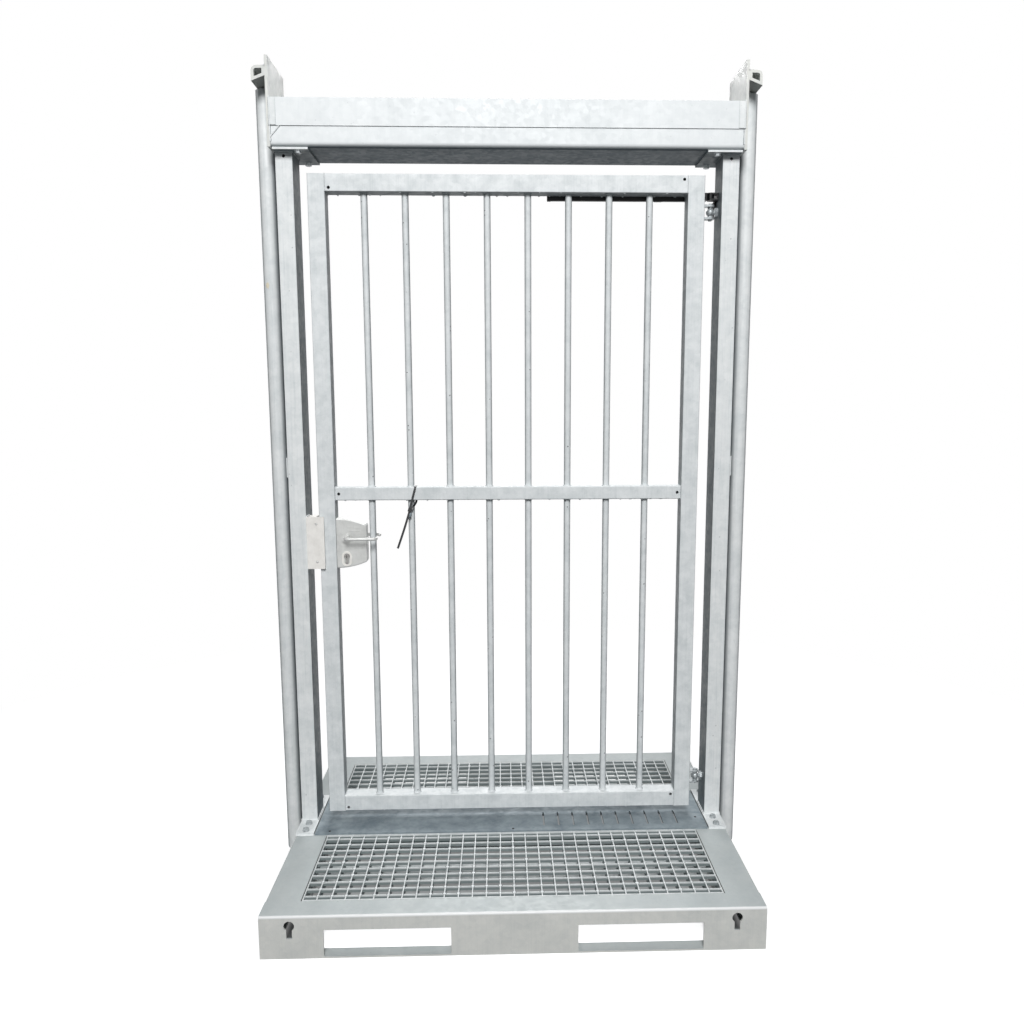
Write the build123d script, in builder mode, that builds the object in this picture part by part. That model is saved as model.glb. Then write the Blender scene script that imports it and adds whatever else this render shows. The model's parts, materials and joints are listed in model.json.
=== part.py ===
from build123d import *
import os

# Free-standing walk-through gate of hot-dip galvanised steel.
# Units are millimetres, +X is to the viewer's right, +Y points away from the viewer and +Z is up.
# The origin is on the ground at the centre of the base.

# Base tray: folded channels round two grating openings
base_width = 1340.0
base_depth = 1024.0
base_height = 120.0
sheet = 5.0
bend_radius = 4.5
end_flange = 70.0
side_flange = 95.0
foot_flange = 36.0
end_lip_depth = 35.0
side_lip_depth = 70.0
ledge_width = 18.0

# Fork slots and hanging keyholes in the end channels
fork_slot_width = 334.0
fork_slot_height = 75.0
fork_slot_centres = 670.0
keyhole_edge_distance = 79.0
keyhole_head_below_top = 28.0
keyhole_head_diameter = 28.0
keyhole_slot_width = 15.0
keyhole_slot_drop = 35.0

# Gratings: bearing bars run front to back, thinner cross bars run side to side
bearing_pitch = 38.1
cross_pitch = 34.3
bearing_bar = 3.0
bearing_depth = 30.0
cross_bar = 2.5
cross_depth = 12.0
grating_clearance = 3.0
bearer_width = 45.0
bearer_height = 40.0
bearer_wall = 3.0
bearer_before_threshold = 135.0

# Threshold plate between the posts, its slots, and the cross beams under its edges
threshold_overhang = 85.0
threshold_beam_width = 40.0
threshold_beam_height = 60.0
slot_count = 10
slot_pitch = 47.0
slot_from_foot_plate = 92.0
slot_width = 5.0
slot_length = 88.0
slot_from_edge = 74.0

# Posts, flush with the base's sides
post_width = 50.0
post_depth = 90.0
post_wall = 4.0
post_corner = 3.0
foot_plate_width = 55.0
foot_plate_thickness = 8.0
head_plate_width = 100.0
head_plate_thickness = 6.0
head_plate_front = 28.0
head_plate_back = 52.0
vent_hole = 9.0
vent_from_edge = 11.0

# Header box beam, made of two folded channels that meet at a seam
passage_height = 2041.0
header_lower_height = 57.0
header_upper_height = 76.0
header_front = 30.0
header_depth = 187.0
header_sheet = 4.0
header_step = 2.5
header_bend = 14.0
header_top_bend = 2.0

# End plates that rise above the header as fins, with a hollow stub on each
end_plate_thickness = 8.0
fin_height = 110.0
stub_width = 38.0
stub_height = 42.0
stub_below_fin_top = 27.0
stub_slope = 15.0
stub_wall = 8.0
stub_corner = 16.0

# Coupling tubes outside the posts
coupling_diameter = 48.3
coupling_wall = 3.0
coupling_behind_front = 55.0
coupling_bottom = 15.0
coupling_standoff = 11.6
weld_gap = 0.3
spacer_height = 60.0
spacer_depth = 40.0
lower_spacer_z = 60.0
middle_spacer_z = 1250.0

# Leaf: a welded square-tube frame with a middle rail and round bars
latch_gap = 37.0
leaf_above_threshold = 29.0
leaf_below_header = 62.0
leaf_behind_front = 6.0
frame_tube = 50.0
frame_wall = 3.0
frame_corner = 3.0
mid_rail_tube = 40.0
mid_rail_above_leaf_bottom = 997.0
bar_pitch = 119.6
bar_diameter = 20.0
bar_wall = 2.5

# Hinges on one upright axis between the leaf and the right post
hinge_from_post = 22.0
hinge_from_leaf = 26.0
hinge_before_leaf_back = 6.0
lower_hinge_above_leaf_bottom = 82.0
upper_hinge_below_leaf_top = 95.0
clevis_height = 42.0
clevis_plate = 6.0
pin_diameter = 10.0
pin_clearance = 0.1
pin_head = 4.0
ear_wall = 7.0
eye_diameter = 24.0
eye_height = 18.0
eye_play = 1.0
bush_diameter = 14.0
shank_diameter = 12.0
shank_clearance = 0.5
shank_into_post = 25.0
nut_across_flats = 24.0
nut_thickness = 8.0

# Lock case, cylinder and levers on the latch stile
case_bar_gap = 7.0
case_height = 154.0
case_below_spindle = 94.0
case_depth = 40.0
case_shoulder = 20.0
case_corner = 9.0
case_edge = 4.0
spindle_above_leaf_bottom = 882.0
spindle_from_stile = 30.0
spindle_diameter = 9.0
spindle_clearance = 0.5
lever_reach = 93.0
lever_diameter = 10.0
lever_standoff = 29.0
lever_bend = 9.0
lever_return = 16.0
lever_tip_rounding = 4.0
rose_diameter = 26.0
rose_thickness = 9.0
rose_gap = 0.6
cylinder_below_spindle = 57.0
cylinder_head = 17.0
cylinder_body = 10.0
cylinder_height = 33.0
cylinder_stand_out = 3.0

# Keep on the left post, with a stop plate in front of the leaf's edge
keep_height = 160.0
keep_below_spindle = 93.0
keep_plate = 5.0
keep_overlap = 16.0
keep_clearance = 5.0
keep_box_clearance = 7.0
keep_box_depth = 40.0
keep_pocket_width = 18.0
keep_pocket_height = 72.0
keep_pocket_depth = 15.0

# Closer arm behind the top rail, turning on a pin in line with the hinges
closer_reach = 486.0
closer_depth = 10.0
closer_height = 22.0
closer_below_leaf_top = 62.0
closer_neck = 16.0
closer_boss_diameter = 22.0
closer_boss_height = 11.0
closer_pin_diameter = 8.0
closer_lug = 5.0
closer_play = 0.5

# Cable tie left round one bar
tie_bar_index = 1
tie_below_mid_rail = 38.0
tie_width = 5.0
tie_thickness = 1.6
tie_head = 8.0
tie_tail = 118.0
tie_tail_angle = 20.0

# Places in the base, worked out from the sizes above
half_width = base_width / 2
half_depth = base_depth / 2
opening_half = half_width - side_flange
grating_bottom = base_height - bearing_depth
front_opening_y = -half_depth + end_flange
rear_opening_y = half_depth - end_flange
foot_plate_inner = half_width - foot_plate_width
foot_plate_top = base_height + foot_plate_thickness
threshold_top = base_height + sheet

# The posts' front faces are on the base's middle line
post_inner = half_width - post_width
post_centre_x = half_width - post_width / 2
post_centre_y = post_depth / 2
threshold_front_y = -threshold_overhang
threshold_rear_y = post_depth + threshold_overhang
threshold_centre_y = (threshold_front_y + threshold_rear_y) / 2

# Header, end plates and coupling tubes
header_bottom = base_height + passage_height
header_seam = header_bottom + header_lower_height
header_top = header_seam + header_upper_height
header_front_y = -header_front
header_rear_y = header_front_y + header_depth
post_top = header_bottom - head_plate_thickness
end_plate_outer = half_width + coupling_standoff
end_plate_inner = end_plate_outer - end_plate_thickness
fin_top = header_top + fin_height
stub_top = fin_top - stub_below_fin_top
stub_bottom = stub_top - stub_height
coupling_radius = coupling_diameter / 2
coupling_x = end_plate_outer + weld_gap + coupling_radius

# Leaf
leaf_left = -post_inner + latch_gap
hinge_x = post_inner - hinge_from_post
leaf_right = hinge_x - hinge_from_leaf
leaf_bottom = threshold_top + leaf_above_threshold
leaf_top = header_bottom - leaf_below_header
leaf_front = leaf_behind_front
leaf_back = leaf_front + frame_tube
leaf_centre_y = leaf_front + frame_tube / 2
frame_left = leaf_left + frame_tube
frame_right = leaf_right - frame_tube
mid_rail_bottom = leaf_bottom + mid_rail_above_leaf_bottom
mid_rail_top = mid_rail_bottom + mid_rail_tube
top_rail_bottom = leaf_top - frame_tube
bottom_rail_top = leaf_bottom + frame_tube
low_vent = vent_from_edge
high_vent = frame_tube - vent_from_edge
bars_centre_x = (leaf_left + leaf_right) / 2
bar_count = int((frame_right - frame_left) // bar_pitch)
first_bar_x = bars_centre_x - bar_pitch * (bar_count - 1) / 2

# Hinges, lock, keep and closer
hinge_y = leaf_back - hinge_before_leaf_back
lower_hinge_z = leaf_bottom + lower_hinge_above_leaf_bottom
upper_hinge_z = leaf_top - upper_hinge_below_leaf_top
case_right = first_bar_x - bar_diameter / 2 - case_bar_gap
case_front = leaf_centre_y - case_depth / 2
case_back = case_front + case_depth
spindle_x = frame_left + spindle_from_stile
spindle_z = leaf_bottom + spindle_above_leaf_bottom
case_bottom = spindle_z - case_below_spindle
case_top = case_bottom + case_height
cylinder_z = spindle_z - cylinder_below_spindle
keep_middle_z = spindle_z - keep_below_spindle + keep_height / 2
closer_bottom = leaf_top - closer_below_leaf_top
closer_centre_z = closer_bottom + closer_height / 2

os.makedirs("parts", exist_ok=True)


def save(part, name):
    """Label a finished piece and write it to its own file."""
    part.label = name
    export_step(part, f"parts/{name}.step")


def save_pair(right_part, name):
    """Write a piece of the right side and its mirror image on the left."""
    save(right_part, f"{name}_right")
    save(mirror(right_part, about=Plane.YZ), f"{name}_left")


# Base channels
with BuildPart() as base_front_rail:
    with BuildSketch(Plane.YZ):
        with BuildLine():
            Polyline(
                (-half_depth, 0),
                (-half_depth + foot_flange, 0),
                (-half_depth + foot_flange, sheet),
                (-half_depth + sheet, sheet),
                (-half_depth + sheet, base_height - sheet),
                (front_opening_y, base_height - sheet),
                (front_opening_y, base_height),
                (-half_depth, base_height),
                close=True,
            )
        make_face()
    extrude(amount=half_width, both=True)
    top_front_edge = base_front_rail.edges().filter_by(Axis.X).group_by(Axis.Y)[0].group_by(Axis.Z)[-1]
    fillet(top_front_edge, radius=bend_radius)
    # The lip and the ledge for the grating stop between the side rails' lips
    with BuildSketch(Plane.YZ):
        with Locations((front_opening_y - sheet / 2, base_height - end_lip_depth / 2)):
            Rectangle(sheet, end_lip_depth)
        with Locations((front_opening_y + ledge_width / 2, grating_bottom - sheet / 2)):
            Rectangle(ledge_width, sheet)
    extrude(amount=opening_half, both=True)
    keyhole_head_z = base_height - keyhole_head_below_top
    with BuildSketch(Plane.XZ.offset(half_depth)):
        for side in (-1, 1):
            keyhole_x = side * (half_width - keyhole_edge_distance)
            with Locations((side * fork_slot_centres / 2, sheet + fork_slot_height / 2)):
                Rectangle(fork_slot_width, fork_slot_height)
            with Locations((keyhole_x, keyhole_head_z)):
                Circle(keyhole_head_diameter / 2)
            with Locations((keyhole_x, keyhole_head_z - keyhole_slot_drop / 2)):
                Rectangle(keyhole_slot_width, keyhole_slot_drop)
    extrude(amount=-2 * sheet, mode=Mode.SUBTRACT)
save(base_front_rail.part, "base_front_rail")
save(mirror(base_front_rail.part, about=Plane.XZ), "base_rear_rail")

with BuildPart() as base_side_rail:
    # Top flange and lip run between the end channels' flanges
    with BuildSketch(Plane.XZ):
        with BuildLine():
            Polyline(
                (half_width, base_height - side_lip_depth),
                (half_width - sheet, base_height - side_lip_depth),
                (half_width - sheet, base_height - sheet),
                (opening_half + sheet, base_height - sheet),
                (opening_half + sheet, base_height - side_lip_depth),
                (opening_half, base_height - side_lip_depth),
                (opening_half, base_height),
                (half_width, base_height),
                close=True,
            )
        make_face()
    extrude(amount=rear_opening_y, both=True)
    top_outer_edge = base_side_rail.edges().filter_by(Axis.Y).group_by(Axis.X)[-1].group_by(Axis.Z)[-1]
    fillet(top_outer_edge, radius=bend_radius)
    # The web closes the end channels, and the bottom flange runs between theirs
    with BuildSketch(Plane.XZ):
        with Locations((half_width - sheet / 2, base_height / 2)):
            Rectangle(sheet, base_height - 2 * sheet)
    extrude(amount=half_depth - sheet, both=True)
    with BuildSketch(Plane.XZ):
        with Locations((half_width - foot_flange / 2, sheet / 2)):
            Rectangle(foot_flange, sheet)
    extrude(amount=half_depth - foot_flange, both=True)
save(base_side_rail.part, "base_right_rail")
save(mirror(base_side_rail.part, about=Plane.YZ), "base_left_rail")


# Cross beams under the gratings and the threshold
with BuildPart() as front_bearer:
    with BuildSketch(Plane.YZ):
        with Locations((threshold_front_y - bearer_before_threshold, grating_bottom - bearer_height / 2)):
            Rectangle(bearer_width, bearer_height)
            Rectangle(bearer_width - 2 * bearer_wall, bearer_height - 2 * bearer_wall, mode=Mode.SUBTRACT)
    extrude(amount=opening_half, both=True)
save(front_bearer.part, "front_bearer")


def threshold_beam(edge_y, inward):
    """Hollow beam under one edge of the threshold, with a ledge that carries the grating's end."""
    beam_y = edge_y + inward * threshold_beam_width / 2
    beam_z = base_height - threshold_beam_height / 2
    with BuildPart() as beam:
        with BuildSketch(Plane.YZ):
            with Locations((beam_y, beam_z)):
                Rectangle(threshold_beam_width, threshold_beam_height)
            with Locations((edge_y - inward * ledge_width / 2, grating_bottom - sheet / 2)):
                Rectangle(ledge_width, sheet)
            with Locations((beam_y, beam_z)):
                hollow_width = threshold_beam_width - 2 * bearer_wall
                hollow_height = threshold_beam_height - 2 * bearer_wall
                Rectangle(hollow_width, hollow_height, mode=Mode.SUBTRACT)
        extrude(amount=opening_half, both=True)
    return beam.part


save(threshold_beam(threshold_front_y, 1), "threshold_beam_front")
save(threshold_beam(threshold_rear_y, -1), "threshold_beam_rear")


# Gratings
def grating(near_edge_y, far_edge_y):
    """Pressed grating panel that fills the opening between two edges, inside a flat bar border."""
    width = 2 * (opening_half - grating_clearance)
    depth = far_edge_y - near_edge_y - 2 * grating_clearance
    centre_y = (near_edge_y + far_edge_y) / 2
    bearing_count = int((width - bearing_bar) // bearing_pitch)
    cross_count = int((depth - bearing_bar) // cross_pitch)
    with BuildPart() as panel:
        with BuildSketch(Plane.XY.offset(grating_bottom)):
            with Locations((0, centre_y)):
                Rectangle(width, depth)
                Rectangle(width - 2 * bearing_bar, depth - 2 * bearing_bar, mode=Mode.SUBTRACT)
            with Locations((0, centre_y)):
                with GridLocations(bearing_pitch, 1, bearing_count, 1):
                    Rectangle(bearing_bar, depth - bearing_bar)
        extrude(amount=bearing_depth)
        with BuildSketch(Plane.XY.offset(base_height - cross_depth)):
            with Locations((0, centre_y)):
                with GridLocations(1, cross_pitch, 1, cross_count):
                    Rectangle(width - bearing_bar, cross_bar)
        extrude(amount=cross_depth)
    return panel.part


save(grating(front_opening_y, threshold_front_y), "front_grating")
save(grating(threshold_rear_y, rear_opening_y), "rear_grating")


# Threshold plate with its row of slots on the hinge side
with BuildPart() as threshold_plate:
    slot_row_x = foot_plate_inner - slot_from_foot_plate - slot_pitch * (slot_count - 1) / 2
    with BuildSketch(Plane.XY.offset(base_height)):
        with Locations((0, threshold_centre_y)):
            Rectangle(2 * (foot_plate_inner - grating_clearance), threshold_rear_y - threshold_front_y)
        with Locations((slot_row_x, threshold_front_y + slot_from_edge)):
            with GridLocations(slot_pitch, 1, slot_count, 1):
                SlotOverall(slot_length, slot_width, rotation=90, mode=Mode.SUBTRACT)
    extrude(amount=sheet)
save(threshold_plate.part, "threshold_plate")


# Posts with their foot and head plates
with BuildPart() as plain_post:
    with BuildSketch(Plane.XY.offset(foot_plate_top)):
        with Locations((post_centre_x, post_centre_y)):
            RectangleRounded(post_width, post_depth, post_corner)
            Rectangle(post_width - 2 * post_wall, post_depth - 2 * post_wall, mode=Mode.SUBTRACT)
    extrude(amount=post_top - foot_plate_top)
    with BuildSketch(Plane.XZ):
        with Locations((post_centre_x, post_top - vent_from_edge)):
            Circle(vent_hole / 2)
    extrude(amount=-2 * post_wall, mode=Mode.SUBTRACT)
save(mirror(plain_post.part, about=Plane.YZ), "post_left")

# Only the right post has holes for the eye bolts' shanks
with BuildPart() as hinge_post:
    add(plain_post.part)
    with BuildSketch(Plane.YZ.offset(post_inner)):
        with Locations((hinge_y, lower_hinge_z), (hinge_y, upper_hinge_z)):
            Circle(shank_diameter / 2 + shank_clearance)
    extrude(amount=2 * post_wall, mode=Mode.SUBTRACT)
save(hinge_post.part, "post_right")

with BuildPart() as foot_plate:
    with BuildSketch(Plane.XY.offset(base_height)):
        with Locations((half_width - foot_plate_width / 2, threshold_centre_y)):
            Rectangle(foot_plate_width, threshold_rear_y - threshold_front_y)
    extrude(amount=foot_plate_thickness)
save_pair(foot_plate.part, "foot_plate")

with BuildPart() as head_plate:
    head_plate_depth = head_plate_front + post_depth + head_plate_back
    with BuildSketch(Plane.XY.offset(post_top)):
        with Locations((half_width - head_plate_width / 2, head_plate_depth / 2 - head_plate_front)):
            Rectangle(head_plate_width, head_plate_depth)
    extrude(amount=head_plate_thickness)
save_pair(head_plate.part, "head_plate")


# Header: an upright channel, and an upturned one on it whose faces stand a little proud
with BuildPart() as header_lower:
    lower_front_y = header_front_y + header_step
    lower_rear_y = header_rear_y - header_step
    with BuildSketch(Plane.YZ):
        with BuildLine():
            Polyline(
                (lower_front_y, header_bottom),
                (lower_rear_y, header_bottom),
                (lower_rear_y, header_seam),
                (lower_rear_y - header_sheet, header_seam),
                (lower_rear_y - header_sheet, header_bottom + header_sheet),
                (lower_front_y + header_sheet, header_bottom + header_sheet),
                (lower_front_y + header_sheet, header_seam),
                (lower_front_y, header_seam),
                close=True,
            )
        make_face()
        fillet(vertices().group_by(Axis.Y)[1], radius=header_bend - header_sheet)
        fillet(vertices().group_by(Axis.Y)[0], radius=header_bend)
    extrude(amount=end_plate_inner, both=True)
save(header_lower.part, "header_lower")

with BuildPart() as header_upper:
    with BuildSketch(Plane.YZ):
        with BuildLine():
            Polyline(
                (header_front_y, header_seam),
                (header_front_y + header_sheet, header_seam),
                (header_front_y + header_sheet, header_top - header_sheet),
                (header_rear_y - header_sheet, header_top - header_sheet),
                (header_rear_y - header_sheet, header_seam),
                (header_rear_y, header_seam),
                (header_rear_y, header_top),
                (header_front_y, header_top),
                close=True,
            )
        make_face()
    extrude(amount=end_plate_inner, both=True)
    top_edges = header_upper.edges().filter_by(Axis.X).group_by(Axis.Z)[-1]
    fillet(top_edges, radius=header_top_bend)
save(header_upper.part, "header_upper")

with BuildPart() as end_plate:
    with BuildSketch(Plane.YZ.offset(end_plate_inner)):
        with Locations(((header_front_y + header_rear_y) / 2, (header_bottom + fin_top) / 2)):
            Rectangle(header_depth, fin_top - header_bottom)
    extrude(amount=end_plate_thickness)
save_pair(end_plate.part, "end_plate")

# The stub's underside slopes out to the coupling tube's top, which it rests on
with BuildPart() as top_stub:
    with BuildSketch(Plane.XZ.offset(-header_front_y)):
        with BuildLine():
            Polyline(
                (end_plate_outer, stub_bottom + stub_slope),
                (end_plate_outer + stub_width, stub_bottom),
                (end_plate_outer + stub_width, stub_top),
                (end_plate_outer, stub_top),
                close=True,
            )
        make_face()
        outer_top = vertices().group_by(Axis.X)[-1].sort_by(Axis.Y)[-1]
        fillet(outer_top, radius=stub_corner)
        offset(amount=-stub_wall, mode=Mode.SUBTRACT, kind=Kind.INTERSECTION)
    extrude(amount=-header_depth)
save_pair(top_stub.part, "top_stub")

with BuildPart() as coupling_tube:
    with BuildSketch(Plane.XY.offset(coupling_bottom)):
        with Locations((coupling_x, coupling_behind_front)):
            Circle(coupling_radius)
            Circle(coupling_radius - coupling_wall, mode=Mode.SUBTRACT)
    extrude(amount=stub_bottom - coupling_bottom)
save_pair(coupling_tube.part, "coupling_tube")

# One spacer is on the base's side and one is on the post
with BuildPart() as tube_spacers:
    with BuildSketch(Plane.YZ.offset(half_width)):
        with Locations((coupling_behind_front, lower_spacer_z), (coupling_behind_front, middle_spacer_z)):
            Rectangle(spacer_depth, spacer_height)
    extrude(amount=coupling_standoff)
save_pair(tube_spacers.part, "tube_spacers")


# Leaf frame: the stiles run the full height and the rails fit between them
def stile(left_x):
    """Upright tube of the leaf frame."""
    with BuildPart() as tube:
        with BuildSketch(Plane.XY.offset(leaf_bottom)):
            with Locations((left_x + frame_tube / 2, leaf_centre_y)):
                RectangleRounded(frame_tube, frame_tube, frame_corner)
                Rectangle(frame_tube - 2 * frame_wall, frame_tube - 2 * frame_wall, mode=Mode.SUBTRACT)
        extrude(amount=leaf_top - leaf_bottom)
    return tube.part


def rail(bottom_z, size, left_vent, right_vent):
    """Level tube between the stiles, with a vent hole for the zinc at each end of its front wall."""
    left_place = (frame_left + vent_from_edge, bottom_z + left_vent)
    right_place = (frame_right - vent_from_edge, bottom_z + right_vent)
    with BuildPart() as tube:
        with BuildSketch(Plane.YZ.offset(frame_left)):
            with Locations((leaf_centre_y, bottom_z + size / 2)):
                RectangleRounded(size, size, frame_corner)
                Rectangle(size - 2 * frame_wall, size - 2 * frame_wall, mode=Mode.SUBTRACT)
        extrude(amount=frame_right - frame_left)
        with BuildSketch(Plane.XZ.offset(size / 2 - leaf_centre_y)):
            with Locations(left_place, right_place):
                Circle(vent_hole / 2)
        extrude(amount=-2 * frame_wall, mode=Mode.SUBTRACT)
    return tube.part


save(stile(leaf_left), "leaf_latch_stile")
save(stile(frame_right), "leaf_hinge_stile")
save(rail(top_rail_bottom, frame_tube, low_vent, high_vent), "leaf_top_rail")
save(rail(mid_rail_bottom, mid_rail_tube, mid_rail_tube / 2, mid_rail_tube / 2), "leaf_mid_rail")
save(rail(leaf_bottom, frame_tube, low_vent, high_vent), "leaf_bottom_rail")

# Round bars, one row under the middle rail and one above it
with BuildPart() as leaf_bars:
    for low_z, high_z in ((bottom_rail_top, mid_rail_bottom), (mid_rail_top, top_rail_bottom)):
        with BuildSketch(Plane.XY.offset(low_z)):
            with Locations((bars_centre_x, leaf_centre_y)):
                with GridLocations(bar_pitch, 1, bar_count, 1):
                    Circle(bar_diameter / 2)
                    Circle(bar_diameter / 2 - bar_wall, mode=Mode.SUBTRACT)
        extrude(amount=high_z - low_z)
save(leaf_bars.part, "leaf_bars")


# Hinges
def hinge_clevis(level):
    """Two ears on a plate on the hinge stile, with the pin and its two bushes between them."""
    ear_radius = pin_diameter / 2 + ear_wall
    low_ear_z = level - clevis_height / 2
    high_ear_z = level + clevis_height / 2 - clevis_plate
    bush_height = (clevis_height - eye_height) / 2 - clevis_plate - eye_play
    bush_offset = (eye_height + bush_height) / 2 + eye_play
    with BuildPart() as clevis:
        for ear_z in (low_ear_z, high_ear_z):
            with BuildSketch(Plane.XY.offset(ear_z)):
                with Locations((hinge_x, hinge_y)):
                    Circle(ear_radius)
                with Locations(((leaf_right + hinge_x) / 2, hinge_y)):
                    Rectangle(hinge_x - leaf_right, 2 * ear_radius)
            extrude(amount=clevis_plate)
        with Locations((leaf_right + clevis_plate / 2, hinge_y, level)):
            Box(clevis_plate, 2 * ear_radius, clevis_height)
        with Locations((hinge_x, hinge_y, level)):
            Cylinder(pin_diameter / 2, clevis_height + 2 * pin_head)
        with Locations((hinge_x, hinge_y, level - bush_offset), (hinge_x, hinge_y, level + bush_offset)):
            Cylinder(bush_diameter / 2, bush_height)
    return clevis.part


def eye_bolt(level):
    """Ball-shaped eye round the pin, its shank through the post's wall and a nut against the post."""
    with BuildPart() as bolt:
        with Locations((hinge_x, hinge_y, level)):
            Sphere(eye_diameter / 2)
            Box(eye_diameter, eye_diameter, eye_height, mode=Mode.INTERSECT)
        with BuildSketch(Plane.YZ.offset(hinge_x)):
            with Locations((hinge_y, level)):
                Circle(shank_diameter / 2)
        extrude(amount=post_inner + shank_into_post - hinge_x)
        with BuildSketch(Plane.YZ.offset(post_inner - nut_thickness)):
            with Locations((hinge_y, level)):
                RegularPolygon(nut_across_flats / 2, 6, major_radius=False)
        extrude(amount=nut_thickness)
        with Locations((hinge_x, hinge_y, level)):
            Cylinder(pin_diameter / 2 + pin_clearance, eye_height, mode=Mode.SUBTRACT)
    return bolt.part


save(hinge_clevis(lower_hinge_z), "hinge_clevis_bottom")
save(hinge_clevis(upper_hinge_z), "hinge_clevis_top")
save(eye_bolt(lower_hinge_z), "eye_bolt_bottom")
save(eye_bolt(upper_hinge_z), "eye_bolt_top")


# Lock on the latch stile's inner face
def cylinder_outline():
    """Outline of a profile cylinder: a round head with a narrow body below it."""
    drop = cylinder_height - cylinder_head / 2 - cylinder_body / 2
    with BuildSketch() as outline:
        Circle(cylinder_head / 2)
        with Locations((0, -drop)):
            Circle(cylinder_body / 2)
        with Locations((0, -drop / 2)):
            Rectangle(cylinder_body, drop)
    return outline.sketch


with BuildPart() as lock_case:
    with BuildSketch(Plane.XZ.offset(-case_front)):
        with BuildLine():
            top_arc = TangentArc(
                (frame_left, case_top),
                (case_right, case_top - case_shoulder),
                tangent=(1, 0),
            )
            bottom_arc = TangentArc(
                (frame_left, case_bottom),
                (case_right, case_bottom + case_shoulder),
                tangent=(1, 0),
            )
            Line(top_arc @ 0, bottom_arc @ 0)
            Line(top_arc @ 1, bottom_arc @ 1)
        make_face()
        fillet(vertices().group_by(Axis.X)[-1], radius=case_corner)
    extrude(amount=-case_depth)
    fillet(lock_case.faces().sort_by(Axis.Y)[0].edges().sort_by(Axis.X)[1:], radius=case_edge)
    fillet(lock_case.faces().sort_by(Axis.Y)[-1].edges().sort_by(Axis.X)[1:], radius=case_edge)
    with BuildSketch(Plane.XZ.offset(-case_front)):
        with Locations((spindle_x, spindle_z)):
            Circle(spindle_diameter / 2 + spindle_clearance)
        with Locations((spindle_x, cylinder_z)):
            add(cylinder_outline())
    extrude(amount=-case_depth, mode=Mode.SUBTRACT)
save(lock_case.part, "lock_case")

with BuildPart() as lock_cylinder:
    with BuildSketch(Plane.XZ.offset(cylinder_stand_out - case_front)):
        with Locations((spindle_x, cylinder_z)):
            add(cylinder_outline())
    extrude(amount=-(case_depth + 2 * cylinder_stand_out))
save(lock_cylinder.part, "lock_cylinder")

# Lever pair on one spindle through the case
with BuildPart() as lever_handles:
    with BuildSketch(Plane.XZ.offset(-case_front)):
        with Locations((spindle_x, spindle_z)):
            Circle(spindle_diameter / 2)
    extrude(amount=-case_depth)
    # Each lever is a bent round bar: a neck, a grip and a short return at its tip
    for face_y, outward in ((case_front, -1), (case_back, 1)):
        rose_y = face_y + outward * rose_gap
        with BuildSketch(Plane.XZ.offset(-rose_y)):
            with Locations((spindle_x, spindle_z)):
                Circle(rose_diameter / 2)
        extrude(amount=-outward * rose_thickness)
        grip_y = face_y + outward * lever_standoff
        with BuildLine(Plane.XY.offset(spindle_z)):
            lever_path = FilletPolyline(
                (spindle_x, face_y),
                (spindle_x, grip_y),
                (spindle_x + lever_reach, grip_y),
                (spindle_x + lever_reach, grip_y - outward * lever_return),
                radius=lever_bend,
            )
        with BuildSketch(Plane(origin=lever_path @ 0, z_dir=lever_path % 0)):
            Circle(lever_diameter / 2)
        sweep(path=lever_path)
    return_tips = lever_handles.faces().filter_by(GeomType.PLANE).group_by(Axis.X)[-1]
    fillet(return_tips.edges(), radius=lever_tip_rounding)
save(lever_handles.part, "lever_handles")

# Keep: a box for the bolt on the post, and the stop plate in front of the leaf's edge
with BuildPart() as lock_keep:
    stop_back = leaf_front - keep_clearance
    box_side = leaf_left - keep_box_clearance
    with BuildSketch(Plane.XY.offset(keep_middle_z - keep_height / 2)):
        with BuildLine():
            Polyline(
                (-post_inner, stop_back - keep_plate),
                (leaf_left + keep_overlap, stop_back - keep_plate),
                (leaf_left + keep_overlap, stop_back),
                (box_side, stop_back),
                (box_side, stop_back + keep_box_depth),
                (-post_inner, stop_back + keep_box_depth),
                close=True,
            )
        make_face()
    extrude(amount=keep_height)
    with BuildSketch(Plane.YZ.offset(box_side)):
        with Locations((stop_back + keep_box_depth / 2, keep_middle_z)):
            Rectangle(keep_pocket_width, keep_pocket_height)
    extrude(amount=-keep_pocket_depth, mode=Mode.SUBTRACT)
save(lock_keep.part, "lock_keep")


# Closer arm behind the top rail, and the lugs on the post that hold its pin
with BuildPart() as closer_arm:
    # The arm thins to the boss's height where it runs in between the lugs
    with BuildSketch(Plane.XZ.offset(-leaf_back)):
        with Locations((hinge_x - closer_reach / 2, closer_centre_z)):
            Rectangle(closer_reach, closer_boss_height)
        with Locations((hinge_x - (closer_reach + closer_neck) / 2, closer_centre_z)):
            Rectangle(closer_reach - closer_neck, closer_height)
    extrude(amount=-closer_depth)
    with Locations((hinge_x, hinge_y, closer_centre_z)):
        Cylinder(closer_boss_diameter / 2, closer_boss_height)
        Cylinder(closer_pin_diameter / 2 + pin_clearance, closer_boss_height, mode=Mode.SUBTRACT)
save(closer_arm.part, "closer_arm")

with BuildPart() as closer_bracket:
    lug_offset = closer_boss_height / 2 + closer_play
    for lug_z in (closer_centre_z - lug_offset - closer_lug, closer_centre_z + lug_offset):
        with BuildSketch(Plane.XY.offset(lug_z)):
            with Locations((hinge_x, hinge_y)):
                Circle(closer_boss_diameter / 2)
            with Locations(((hinge_x + post_inner) / 2, hinge_y)):
                Rectangle(post_inner - hinge_x, closer_boss_diameter)
        extrude(amount=closer_lug)
    with Locations((hinge_x, hinge_y, closer_centre_z)):
        Cylinder(closer_pin_diameter / 2, 2 * (lug_offset + closer_lug))
save(closer_bracket.part, "closer_bracket")

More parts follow.
